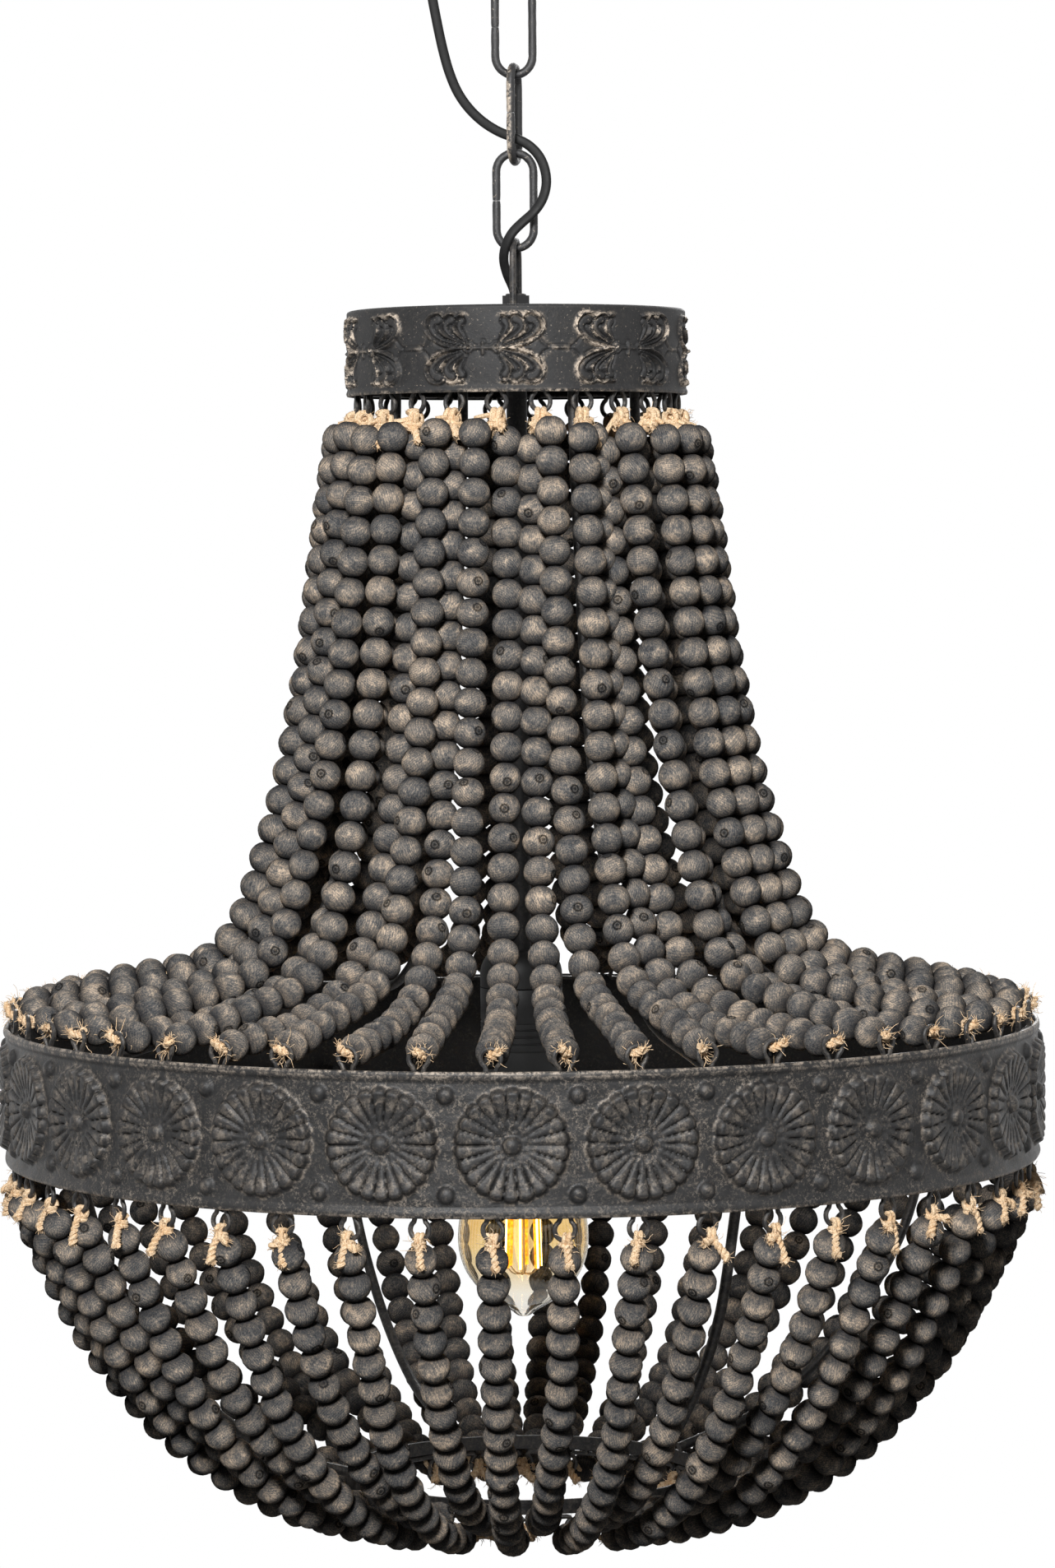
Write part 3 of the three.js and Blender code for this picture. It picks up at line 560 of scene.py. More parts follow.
loop_ring = [(x, 0, z) for x, z in arc((0, SWING_HEIGHT + LOOP_RADIUS), LOOP_RADIUS, LOOP_RADIUS, 0, 351, 40)]
loop_shape = Shape().tube(loop_ring, LOOP_WIRE, 14, closed=True, hollow=0.5, worn=0.5)
loop_shape.lathe(SHANK_PROFILE, 20, hollow=0.3, worn=0.2)
piece("hanging_loop", loop_shape, wire_metal, "canopy_loop", body="ceiling")

piece("strain_relief", Shape().lathe(GRIP_PROFILE, 40, (GRIP_SIDE, 0)), black_plastic, "cord_grip",
      body="ceiling")

# Chain

LINK_PITCH = 41.7
LINK_WIRE = 2
LINK_BEND = 9
LINK_OVERLAP = 4.3
LINK_TWIST = (0, 3, -11.5, 2)
BUTT_GAP = 0.3
WORN_LINK = 2


def link_line(above):
    """A link in the XZ plane under a wire at this height. Its ends butt in the left leg."""
    top = above + LINK_OVERLAP - LINK_BEND
    bottom = above - LINK_PITCH + LINK_BEND
    middle = (top + bottom) / 2
    line = [(-LINK_BEND, middle - BUTT_GAP / 2)]
    line += [(-LINK_BEND, z) for z in np.linspace(middle - 2, bottom + 1.5, 5)]
    line += arc((0, bottom), LINK_BEND, LINK_BEND, 180, 360, 17)
    line += [(LINK_BEND, z) for z in np.linspace(bottom + 2, top - 2, 8)]
    line += arc((0, top), LINK_BEND, LINK_BEND, 0, 180, 17)
    line += [(-LINK_BEND, z) for z in np.linspace(top - 1.5, middle + 2, 5)]
    line += [(-LINK_BEND, middle + BUTT_GAP / 2)]
    return np.array([(x, 0, z) for x, z in line])


for i, twist in enumerate(LINK_TWIST):
    line = link_line(SWING_HEIGHT - i * LINK_PITCH)
    radius = LINK_WIRE * (1 + 0.02 * scatter(len(line)))
    radius[0] = radius[-1] = LINK_WIRE * 0.9
    if i % 2 == 0:
        line = line[:, [1, 0, 2]]
    link_shape = Shape().tube(turned(line, twist), radius, 16, hollow=0, worn=0)
    if i == WORN_LINK:
        x, y, _ = link_shape.verts[0].T
        link_shape.values["worn"] = [2.6 * step(-x, 1.2, 4) * step(-y, -2, 6)]
    piece(f"link_{i}", link_shape, chain_metal, f"chain_link_{i}", body="lamp" if i else "top_link")

# Lifting eye and stem

EYE_TWIST = 8
EYE_RADIUS = 10
EYE_WIRE = 1.6
EYE_BEND_HEIGHT = -222.9
EYE_LEG = (-250.2, -247, -242, -236, -230, -226)
RIVET_PROFILE = [(0, -250.7), (2.2, -250.6), (3.1, -249.9), (3.2, -248.9), (0, -248.8)]
STEM_PROFILE = [(3.5, -566), (5, -566), (5, -239), (4.7, -238.7), (3.5, -238.7)]

eye_line = [(0, -EYE_RADIUS, z) for z in EYE_LEG]
eye_line += [(0, y, z) for y, z in arc((0, EYE_BEND_HEIGHT), EYE_RADIUS, EYE_RADIUS, 180, 0, 25)]
eye_line += [(0, EYE_RADIUS, z) for z in EYE_LEG[::-1]]
eye_shape = Shape().tube(turned(eye_line, -EYE_TWIST), EYE_WIRE, 14, hollow=0.2, worn=0.3)
for foot in turned([(0, -EYE_RADIUS, 0), (0, EYE_RADIUS, 0)], -EYE_TWIST):
    eye_shape.lathe(RIVET_PROFILE, 18, foot[:2], hollow=0.2, worn=0.3)
piece("hanging_staple", eye_shape, wire_metal, "lifting_eye")
piece("stem_tube", Shape().lathe(STEM_PROFILE, 40, hollow=0.2, worn=0.1), wire_metal, "stem")


# Reliefs: a grid round a cylinder whose outside is raised by a height in millimetres

INSIDE_DUST = 0.3


def relief_cylinder(rows, columns, outer, inner_profile, height_at):
    """A closed wall with rows of points from the bottom up. outer gives a row's plain radius."""
    angles = np.radians(np.arange(columns) * 360 / columns)
    plain = np.asarray([outer(z) for z in rows])
    height, hollow, worn = height_at(np.degrees(angles)[None, :], rows[:, None])
    radii = plain[:, None] + height
    heights = np.broadcast_to(rows[:, None], radii.shape)
    outside = np.stack([radii * np.sin(angles), -radii * np.cos(angles), heights], 2)
    inside = np.array([[(r * sin(a), -r * cos(a), z) for a in angles] for r, z in inner_profile])
    verts = np.concatenate([outside, inside])
    unworn = np.zeros(inside.shape[:2])
    return Shape().add(verts.reshape(-1, 3), grid_faces(len(verts), columns),
                       hollow=np.concatenate([hollow, unworn + INSIDE_DUST]).ravel(),
                       worn=np.concatenate([worn, unworn]).ravel())


def ripple(degrees, z, waves):
    """A sum of sines, each of (size, waves in a turn, radians in a millimetre of height, start)."""
    return sum(size * np.sin(np.radians(degrees) * turns + z * rise + start)
               for size, turns, rise, start in waves)


# Drum: pairs of fans of curled lobes, back to back, with a star and a bar between the pairs

DRUM_TOP = -247
DRUM_BOTTOM = -288
DRUM_RADIUS = 82
DRUM_SHOULDER = 1.6
DRUM_INSIDE = [
    (80.9, DRUM_TOP - 0.1), (80.8, DRUM_TOP - 0.4), (80.8, -248.8), (78.8, -248.8), (78.8, -250.3),
    (80.8, -252.3), (80.8, DRUM_BOTTOM + 3), (79.9, DRUM_BOTTOM),
]
PLATE_PROFILE = [(5.3, -248.5), (80.3, -248.5), (80.5, -248.3), (80.5, -247.2), (80.3, -247), (5.3, -247)]
FAN_PAIRS = 7
FAN_FIRST = -11
FAN_HUB = 8.9
LEAVES = [
    [(-0.5, 0.9), (5, 2.2), (10.5, 3.8), (15, 6.4), (17.2, 9.6), (16, 12.4), (13.6, 13.4)],
    [(-0.8, 1.6), (3.2, 4), (7.2, 6.4), (9.6, 9.4), (8.8, 12), (6.6, 13.2)],
    [(-1.2, 2.4), (0.2, 5.2), (1.8, 7.6), (2.6, 10.2), (1.4, 12.6)],
]
LEAF_ROOT = 0.45
LEAF_TIPS = [2.4, 2.1, 1.9]
RIDGE_OFF = 1.05
STAR_MIDDLE = 17.4
STAR_HEIGHT = 6.2
STAR_POINTED = 0.66
BETWEEN_PAIRS = pi * DRUM_RADIUS / FAN_PAIRS - FAN_HUB
HOOK = [(0, 0.6), (-2.2, 2), (-4, 0.4), (-6, 0), (-8.9, 0)]
CROSS = [(-8.9, 0), (-8.9, 2.6)]
BAR = [(STAR_MIDDLE + 6, 0), (BETWEEN_PAIRS + 1, 0)]
PATTERN_REACH = 16
RUB_PATCHES = [(0.5, 4, 0, 0.9), (0.45, 11, 0.16, 0), (0.3, 23, 0.3, 0)]
DRUM_DENTS = [(0.22, 5, 0.11, 0), (0.12, 17, 0.3, 0)]

leaf_lines = [smooth_through(leaf, 5) for leaf in LEAVES]
thin_lines = [BAR, smooth_through(HOOK, 4), CROSS]


def near_line(u, v, line):
    """Distance from each point to a polyline, how far along the line that is, and on which side."""
    best, along, side = np.full(u.shape, 1e9), np.zeros(u.shape), np.zeros(u.shape)
    count = len(line) - 1
    for i in range(count):
        a, b = np.array(line[i]), np.array(line[i + 1])
        d = b - a
        t = np.clip(((u - a[0]) * d[0] + (v - a[1]) * d[1]) / (d @ d), 0, 1)
        distance = np.hypot(u - a[0] - t * d[0], v - a[1] - t * d[1])
        closer = distance < best
        best = np.where(closer, distance, best)
        along = np.where(closer, (i + t) / count, along)
        side = np.where(closer, d[0] * (v - a[1]) - d[1] * (u - a[0]), side)
    return best, along, side


def drum_height(degrees, z):
    """Height, hollow and worn: grooved lobes with a rubbed ridge, star, bar and hook."""
    half_turn = 180 / FAN_PAIRS
    pair = (degrees - FAN_FIRST + half_turn) % (2 * half_turn) - half_turn
    u = np.abs(np.radians(pair) * DRUM_RADIUS) - FAN_HUB
    v = np.abs(z - (DRUM_TOP + DRUM_BOTTOM) / 2)
    u, v = np.broadcast_arrays(u, v)
    edge = np.full(u.shape, 99)
    under = np.zeros(u.shape)
    for line, tip in zip(leaf_lines, LEAF_TIPS):
        distance, along, facing = near_line(u, v, line)
        lobe = distance - LEAF_ROOT - (tip - LEAF_ROOT) * np.clip(along, 0, 1) ** 1.1
        under = np.where(lobe < edge, facing < 0, under)
        edge = np.minimum(edge, lobe)
    star_width = np.where(u < STAR_MIDDLE, 9, 7)
    star = (np.abs(u - STAR_MIDDLE) / star_width) ** STAR_POINTED + (v / STAR_HEIGHT) ** STAR_POINTED
    star_edge = (star - 1) * 3.2
    lines = np.minimum.reduce([near_line(u, v, line)[0] for line in thin_lines])
    boss = np.hypot((u - 5) / 2.2, v / 1.1)

    height = 0.5 * (1 - step(edge, -1.2, 0.2)) + 1.8 * under * bell(edge - RIDGE_OFF, 0.8)
    height -= 0.9 * bell(edge, 0.42)
    height = height + 0.3 * (1 - step(star_edge, -1, 0.3)) - 0.75 * bell(star_edge, 0.45)
    height = height + 0.8 * bell(lines, 0.7) - 0.4 * bell(lines - 1.3, 0.4) + 0.9 * (1 - step(boss, 0.6, 1.1))
    height = np.where(v > PATTERN_REACH, height * bell(v - PATTERN_REACH, 1.2), height)

    rub = under * bell(edge - RIDGE_OFF, 1) + 0.15 * bell(star_edge - 1, 0.5) + 0.25 * bell(lines, 0.5)
    rub += 0.3 * bell(v - PATTERN_REACH - 0.2, 1) * (edge < 3)
    patch = 0.55 + ripple(degrees, z, RUB_PATCHES)
    rub = rub * (v < PATTERN_REACH + 1.5) * np.clip(patch, 0.05, 1.25)
    rub += 0.5 * bell(z - DRUM_BOTTOM - 0.4, 0.8) * np.clip(patch, 0.2, 1.1)
    grooved = np.clip(bell(edge, 0.55) + bell(star_edge, 0.5) + bell(lines - 1.3, 0.45), 0, 1)
    return height + ripple(degrees, z, DRUM_DENTS), np.clip(0.5 - grooved, 0, 1), np.clip(rub, 0, 1.2)


def drum_outer(z):
    """Plain side with a soft shoulder at the top and a slight rim at the bottom."""
    to_shoulder = max(0, DRUM_SHOULDER - (DRUM_TOP - z))
    shoulder = DRUM_SHOULDER - (DRUM_SHOULDER ** 2 - to_shoulder ** 2) ** 0.5
    return DRUM_RADIUS - shoulder + 0.7 * bell(z - DRUM_BOTTOM - 1.2, 1.3)


drum_rows = np.linspace(DRUM_BOTTOM, DRUM_TOP, 92)
drum_shape = relief_cylinder(drum_rows, 1040, drum_outer, DRUM_INSIDE, drum_height)
piece("embossed_drum", drum_shape, drum_metal, "drum", sharp=60)
piece("top_plate", Shape().lathe(PLATE_PROFILE, 96, hollow=0.5, worn=0.1), wire_metal, "drum_top_plate")

# Band: daisy rosettes with a dot above and below each gap

BAND_TOP = -590.5
BAND_BOTTOM = -655.5
BAND_RADIUS = 250.5
BAND_INSIDE = [
    (249.6, BAND_TOP), (249, BAND_TOP - 0.5), (249, -623), (249, BAND_BOTTOM + 0.5), (249.6, BAND_BOTTOM),
]
RIM_ROLL = 2.3
ROSETTES = 27
ROSETTE_FIRST = -1
ROSETTE_RADIUS = 25.8
PETALS = 22
BOSS_RADIUS = 4.3
DOT_RADIUS = 4
DOT_HEIGHT = 22


def band_height(degrees, z):
    """Height, hollow and worn: domed petals between grooves, a pitted ring, a boss and the dots."""
    spacing = 360 / ROSETTES
    number = np.floor((degrees - ROSETTE_FIRST + spacing / 2) / spacing)
    local = (degrees - ROSETTE_FIRST + spacing / 2) % spacing - spacing / 2
    u = np.radians(local) * BAND_RADIUS
    v = z - (BAND_TOP + BAND_BOTTOM) / 2
    u, v, number = np.broadcast_arrays(u, v, number)
    rho = np.hypot(u, v)
    swing = np.arctan2(v, u) + number * 0.9
    phase = (swing * PETALS / tau) % 1
    off_groove = np.minimum(phase, 1 - phase) * tau / PETALS * rho
    crown = np.sqrt(np.sin(np.pi * phase))
    rim = ROSETTE_RADIUS - 1.5 + 1.3 * crown

    body = 0.7 + 2.6 * np.clip(rho / 20, 0, 1.15) ** 1.4
    petals = body * (1 - step(rho, rim - 2.4, rim + 0.9)) * (0.8 + 0.2 * crown)
    groove = bell(off_groove, 0.42) * step(rho, 8.5, 12.5)
    height = np.where(rho < rim + 1, petals - 1.3 * groove * (rho < rim), 0)
    pits = np.maximum(0, np.sin(swing * 11 + 1.3)) * bell(rho - 7, 1.1)
    height = np.maximum(height, -0.4) - 0.7 * pits
    height = np.maximum(height, np.where(rho < BOSS_RADIUS, 0.6 + 3.6 * dome(rho, BOSS_RADIUS), -9))
    from_gap = np.radians(np.abs(local) - spacing / 2) * BAND_RADIUS
    height = np.maximum(height, 2.9 * dome(np.hypot(from_gap, np.abs(v) - DOT_HEIGHT), DOT_RADIUS))

    ground = (height < 0.4).astype(float)
    inner = step(12 - rho, 0, 6) * (rho > 4.6)
    petal_dust = 0.4 * (rho < rim) * (1 - 0.8 * step(rho, 15, 22))
    hollow = 0.9 * ground * (1 - 0.6 * groove) + 0.85 * inner + petal_dust + 0.22 - 0.8 * pits
    lumps = 0.22 * np.sin(np.radians(degrees) * 31 + z * 0.23) * np.sin(np.radians(degrees) * 17 - z * 0.31)
    edges = bell(z - BAND_TOP + 0.3, 0.7) + bell(z - BAND_BOTTOM, 0.8)
    worn = 0.35 * bell(height - 3, 0.5) + 1.3 * edges + 0.8 * bell(z - BAND_TOP + 2.6, 0.5)
    worn = worn + 0.5 * bell(rho - rim - 0.6, 0.6)
    return height + lumps * (1 - 0.7 * edges), np.clip(hollow, 0, 1), np.clip(worn, 0, 1)


def band_outer(z):
    """Plain side with a slight roll at each edge."""
    from_edge = min(z - BAND_BOTTOM, BAND_TOP - z)
    return BAND_RADIUS + dome(from_edge - 2, RIM_ROLL)


band_rows = np.linspace(BAND_BOTTOM, BAND_TOP, 84)
band_shape = relief_cylinder(band_rows, 2080, band_outer, BAND_INSIDE, band_height)
piece("embossed_band", band_shape, band_metal, "band", sharp=75)

# Bottom ring and frame rods

RING_PROFILE = [
    (86.5, -817.7), (86.9, -818), (87.6, -818), (88, -817.7), (88, -811.3), (87.6, -811), (86.9, -811),
    (86.5, -811.3),
]
ROD_FIRST = 24.8
ROD_WIRE = 2.5
ROD_LINES = {
    "upper": [(64, -248.8), (64, -262), (64, -302), (69, -362), (75.5, -425.3), (83.9, -473.1),
              (95.4, -512.1), (111.8, -550), (142.2, -580.1), (185.1, -592.9), (234, -604.5),
              (248.2, -604.5)],
    "lower": [(248.2, -641.5), (234, -641.5), (212.9, -704.8), (185.7, -747.1), (155, -777.2),
              (125.1, -795.5), (84.2, -808.5)],
}

piece("lower_ring", Shape().lathe(RING_PROFILE, 144, hollow=0.5, worn=0.2), wire_metal, "bottom_ring")
for i in range(4):
    for kind, line in ROD_LINES.items():
        path = [round_path(r, ROD_FIRST + 90 * i, z) for r, z in even(smooth_through(line, 8), 40)]
        rod_shape = Shape().tube(path, ROD_WIRE, 12, hollow=0.4, worn=0.25)
        piece(f"{kind}_frame_rod_{i + 1}", rod_shape, wire_metal, f"{kind}_rod_{i + 1:02d}")

# Wire eyelets: one wire bent into loops, up or down

FIRST_EYELET = 8.2
STRAND_STEP = 7.5
EYELET_STEP = 2 * STRAND_STEP
EYELET_WIRE = 1.15
DRUM_EYELET_RADIUS = 78
BAND_EYELET_RADIUS = 247.05
RING_EYELET_RADIUS = 87.2


def eyelet_row(name, radius, run, up, middles, half_step, wide, tall, *nodes):
    """A wire at the height run that bends into a loop at each middle, up or, where up is -1, down."""
    shape = Shape()
    for middle in middles:
        flat_end = half_step * radians(1) * radius
        foot = [(flat_end, 0), (flat_end * 0.6, 0), (4.2, 0), (2.9, up * 0.25), (1.9, up * 1.2)]
        line = [(-u, v) for u, v in foot]
        line += arc((0, up * (tall - wide)), -wide, up * wide, -52, 232, 19) + foot[::-1]
        lean = between(-0.06, 0.06)
        twist = between(-0.25, 0.25)
        points = []
        for u, v in line:
            grow = min(1, abs(v) / 4)
            degrees = middle + np.degrees((u + lean * v * grow) / radius)
            points.append(round_path(radius + grow * u * twist, degrees, run + v))
        shape.tube(points, EYELET_WIRE, 8, hollow=0.4, worn=0.3)
    piece(name, shape, wire_metal, *nodes)


drum_middles = [FIRST_EYELET + EYELET_STEP * k for k in range(24)]
band_middles = [FIRST_EYELET + STRAND_STEP / 2 + STRAND_STEP * k for k in range(48)]
ring_middles = [FIRST_EYELET + STRAND_STEP + EYELET_STEP * k for k in range(24)]
eyelet_row("drum_eyelets", DRUM_EYELET_RADIUS, DRUM_BOTTOM + 2, -1, drum_middles, 7.4, 4.6, 11.2)
eyelet_row("band_upper_eyelets", BAND_EYELET_RADIUS, BAND_TOP - 2, 1, band_middles, 3.72, 4.5, 12,
           "band_top_eyelets")
eyelet_row("band_lower_eyelets", BAND_EYELET_RADIUS, BAND_BOTTOM + 2, -1, band_middles, 3.72, 4.5, 12)
eyelet_row("ring_loops", RING_EYELET_RADIUS, -819.4, -1, ring_middles, 7.4, 4.4, 9.6, "ring_eyelets")

# Beads

BEAD_RADIUS = 7.62
BEAD_PITCH = 14.36
HALF_BEAD = [(1.35, -7.12), (2.9, -7), (4.55, -6.15), (6, -4.65), (7.05, -2.75), (7.56, -0.92)]
BEAD_PROFILE = HALF_BEAD + [(r, -z) for r, z in HALF_BEAD[::-1]]
PROFILE_RADIUS = 7.6
BEAD_SIDES = 16
HIDDEN_KNOT_SHARE = 0.2
HIDDEN_KNOT_AWAY = 5

bead = Shape().lathe(BEAD_PROFILE, BEAD_SIDES, closed=False)
base_bead = bead.verts[0]
bead_faces = bead.faces + end_caps(len(base_bead), BEAD_SIDES)
# Painted shade: how much darker each bead is drawn towards its holes, where its neighbours shade it.
near_hole = np.clip((np.abs(base_bead[:, 2]) - 1) / 6.1, 0, 1) ** 1.3


def strand_line(profile, top_degrees, low_degrees, sway):
    """A strand's dense centre line from its profile, turning from angle to angle."""
    line = even(smooth_through(profile, 16), 220)
    share = np.linspace(0, 1, len(line))
    wave = sway * np.sin(share * pi) * np.sin(share * 9 + sway * 5)
    degrees = top_degrees + (low_degrees - top_degrees) * step(share, 0, 1) + np.degrees(wave / line[:, 0])
    angles = np.radians(degrees)
    return np.stack([line[:, 0] * np.sin(angles), -line[:, 0] * np.cos(angles), line[:, 1]], 1)


def add_strand(shape, line):
    """Threads beads on the line, each with its own tilt, turn, size, knot and shade."""
    run = run_along(line)
    count = max(1, round(run[-1] / BEAD_PITCH))
    pitch = run[-1] / count
    tangents, _, _ = frames_along(line)
    for k in range(count):
        at = (k + 0.5) * pitch
        centre = at_run(at, run, line)
        tangent = unit(at_run(at, run, tangents))
        tilt = unit(tangent + 0.05 * scatter(3))
        side = unit(np.cross(tilt, scatter(3)))
        size = (BEAD_RADIUS / PROFILE_RADIUS) * (1 + 0.018 * scatter())
        length = pitch / BEAD_PITCH * (1 + 0.006 * scatter())
        verts = centre + (base_bead * (size, size, length)) @ np.stack([side, np.cross(tilt, side), tilt])
        knot = unit(scatter(3) * (1, 1, 0.5)) * BEAD_RADIUS
        if rng.random() < HIDDEN_KNOT_SHARE:
            knot = knot * HIDDEN_KNOT_AWAY
        shape.add(verts, bead_faces, bead_place=base_bead, knot_place=knot,
                  grain_shift=between(-14, 14, 3), bead_chance=rng.random(), near_hole=near_hole)


OUTER_UPPER = [
    (87.5, -302.5), (92, -336), (97.5, -376), (102, -410), (106, -432), (113.5, -470), (123.8, -506.6),
    (132.5, -532.5), (141.5, -550), (156, -562.5), (180, -569.5), (205, -574.5), (225, -579), (244.5, -583.5),
]
INNER_UPPER = [
    (76, -304.5), (80, -340), (84, -376), (91, -425), (99, -470), (110, -507), (124, -540), (150, -566),
    (188, -578), (215, -580.5), (244.5, -584),
]
LOWER = [
    (247, -668.5), (241, -682), (235, -696), (227.5, -712), (220, -727), (211.5, -742), (201, -757.5),
    (189, -772), (175, -787.5), (156, -803), (132, -817.5), (110, -825.5), (96.6, -828.4), (89, -828.4),
]
LOWER_ENDS = (-828.4, -819)
# Where an eyelet's outer and inner strand start, in degrees
STRAND_TOPS = [
    (10.4, 5.2), (20.6, 28), (37.5, 32.8), (53, 47), (67.4, 71), (77, 86.4),
    (95.4, 100.5), (106.9, 118.9), (129.9, 123.2), (148.5, 142.3), (157.1, 163.5), (171.8, 177.9),
    (187, 190.6), (201.7, 210.1), (216.1, 222.4), (232.1, 240.1), (254.3, 243.7), (263.8, 257.4),
    (282.3, 277.5), (294.5, 290.2), (306, 312), (318.5, 323), (334.5, 337.5), (347.2, 356.2),
]
JUTE_LINE = 1.05


def lower_profile(last_height):
    """The lower strands' curve, drawn up to end at one of two heights."""
    first = LOWER[0][1]
    share = (last_height - first) / (LOWER[-1][1] - first)
    return [(r, first + (z - first) * share) for r, z in LOWER]


jute_lines = Shape()
upper_ends = []
lower_ends = []
for sector in range(12):
    beads = Shape()
    for eyelet in (sector * 2, sector * 2 + 1):
        middle = drum_middles[eyelet]
        at_front = eyelet < 6 or eyelet > 18
        tops = STRAND_TOPS[eyelet]
        hand = 1 if tops[0] > tops[1] else -1
        feet = (middle + hand * STRAND_STEP / 2, middle - hand * STRAND_STEP / 2)
        for profile, top, foot in zip((OUTER_UPPER, INNER_UPPER), tops, feet):
            in_view = at_front and profile is OUTER_UPPER
            drop = between(-2.8, 2.8) if in_view else between(-6.5, 2.5)
            shaped = [(profile[0][0], profile[0][1] + drop)] + profile[1:]
            line = strand_line(shaped, top, foot, between(-1.2, 1.2))
            add_strand(beads, line)
            jute_lines.tube(even(line, 40), JUTE_LINE, 6)
            upper_ends.append((middle, line[0], foot, line[-1]))
    piece(f"upper_beads_{sector + 1:02d}", beads, wood, f"upper_strands_{sector + 1:02d}")
for sector in range(12):
    beads = Shape()
    for k in range(4):
        degrees = band_middles[sector * 4 + k]
        drift = between(-0.5, 0.5)
        profile = lower_profile(LOWER_ENDS[k % 2])
        line = strand_line(profile, degrees + drift * 0.4, degrees + drift, between(-1, 1))
        add_strand(beads, line)
        jute_lines.tube(even(line, 30), JUTE_LINE, 6)
        lower_ends.append((degrees, line[0], line[-1]))
    piece(f"lower_beads_{sector + 1:02d}", beads, wood, f"lower_strands_{sector + 1:02d}")

# Jute: cords from the beads to the eyelets, knots and frayed tails

PLY_RADIUS = 1.6
CORD_PIECE = 1.25


def wander(start, heading, length, count, stray, sag=0):
    """Points of a fibre that strays from its heading, and which way it goes in the end."""
    points, here, way = [], np.array(start, float), heading
    for _ in range(count):
        points.append(here)
        way = unit(way - (0, 0, sag) + stray * scatter(3))
        here = here + way * length / (count - 1)
    return points, way


def hair(shape, start, heading, length, stray):
    """One stray fibre."""
    points, _ = wander(start, heading, length, 6, stray)
    shape.tube(points, np.linspace(0.2, 0.1, 6), 3)


def ply(shape, points, radius, turns):
    """A short cord of two twisted plies along the points, frayed at its end."""
    line = even(points, 22)
    _, normals, binormals = frames_along(line)
    share = np.linspace(0, 1, len(line))[:, None]
    spin = share * turns * tau + between(0, 6.28)
    for phase in (0, pi):
        offset = 0.55 * radius * (normals * np.cos(spin + phase) + binormals * np.sin(spin + phase))
        thickness = radius * 0.68 * (1 + 0.25 * share[:, 0] ** 4)
        shape.tube(line + offset * (1 + 0.5 * share ** 4), thickness, 6)


def winding(centre, axis, across, length, radii, turning, start):
    """A coil about the axis, whose two directions across it have a radius each."""
    return [centre + axis * length * (t - 0.5) + across[0] * radii[0] * cos(turning * t + start)
            + across[1] * radii[1] * sin(turning * t + start) for t in np.linspace(0, 1, 26)]


def knot_at(shape, centre, outward, tails, size):
    """A lump of wound jute. tails lists (sideways, downwards, length) for its cut ends."""
    up = np.array([0, 0, 1])
    along = np.cross(up, outward)
    start = between(0, 6.28)
    first = winding(centre, along, (outward, up), 5.2 * size, (2.6 * size, 2.9 * size), 12.6, start)
    shape.tube(first, 1.45 * size, 7)
    lower = centre - up * 3.4 * size
    second = winding(lower, up, (along, outward), 3.8 * size, (3.1 * size, 2.5 * size), 11, start)
    shape.tube(second, 1.5 * size, 7)
    for sideways, downwards, length in tails:
        root = centre - up * 2.6 * size + outward * 1.6
        heading = unit(outward * 0.75 + along * sideways - up * downwards)
        tail, way = wander(root, heading, length, 7, 0.1, sag=0.14 * downwards)
        ply(shape, tail, PLY_RADIUS, length / 5)
        for _ in range(16):
            hair(shape, tail[-2], way + 0.5 * scatter(3), between(2.5, 5.5), 0.3)
    for _ in range(24):
        heading = unit(scatter(3)) + outward * 0.6
        hair(shape, centre - up * between(-1, 4.5), heading, between(4, 10), 0.4)


def link_cord(shape, start, end):
    middle = (start + end) / 2 + 0.5 * scatter(3)
    shape.tube(smooth_through([start, middle, end], 3), CORD_PIECE, 6)


piece("strand_cords", jute_lines, jute)

knots = Shape()
for i, (middle, top, _, _) in enumerate(upper_ends):
    loop_bottom = round_path(DRUM_EYELET_RADIUS, middle, DRUM_BOTTOM + 2 - 10.4)
    link_cord(knots, loop_bottom - (0, 0, 2), top)
    if i % 2 == 0:
        hand = rng.choice([-1, 1])
        tails = [(hand * between(0.3, 1), between(0.5, 1.3), between(9, 13)),
                 (-hand * 0.9, 0.3, between(6, 8))]
        centre = loop_bottom + 1.8 * outward_at(middle) - (0, 0, 3.2)
        knot_at(knots, centre, outward_at(middle), tails, 1.08)
piece("drum_knots", knots, jute)

knots = Shape()
for _, _, foot, end in upper_ends:
    loop_inside = BAND_EYELET_RADIUS - EYELET_WIRE
    loop_top = round_path(loop_inside, foot + between(-0.4, 0.4), BAND_TOP + 8.4)
    link_cord(knots, end, loop_top)
    hand = rng.choice([-1, 1])
    knot_at(knots, loop_top, outward_at(foot), [(hand * 1.2, -0.5, between(3.5, 5.5))], 0.56)
piece("band_upper_knots", knots, jute)

knots = Shape()
for degrees, top, _ in lower_ends:
    loop_bottom = round_path(BAND_EYELET_RADIUS, degrees + between(-0.3, 0.3), BAND_BOTTOM + 2 - 11.6)
    link_cord(knots, loop_bottom, top)
    hand = rng.choice([-1, 1])
    tails = [(hand * between(0.1, 1.1), between(0.9, 1.6), between(10, 13.5))]
    if rng.random() < 0.35:
        tails.append((-hand * 1.2, 0.4, between(5, 7)))
    knot_at(knots, loop_bottom - (0, 0, 0.2), outward_at(degrees), tails, 0.78)
piece("band_lower_knots", knots, jute)

knots = Shape()
for i, (_, _, end) in enumerate(lower_ends):
    middle = ring_middles[i // 2]
    link_cord(knots, end, round_path(RING_EYELET_RADIUS, middle + (2.6 if i % 2 else -2.6), -825))
    if i % 2 == 0:
        centre = round_path(RING_EYELET_RADIUS - 0.8, middle, -825.5)
        knot_at(knots, centre, -outward_at(middle), [(0.8, 0.5, 9), (-0.8, 0.2, 7)], 0.85)
piece("ring_knots", knots, jute)

# Lampholder and bulb

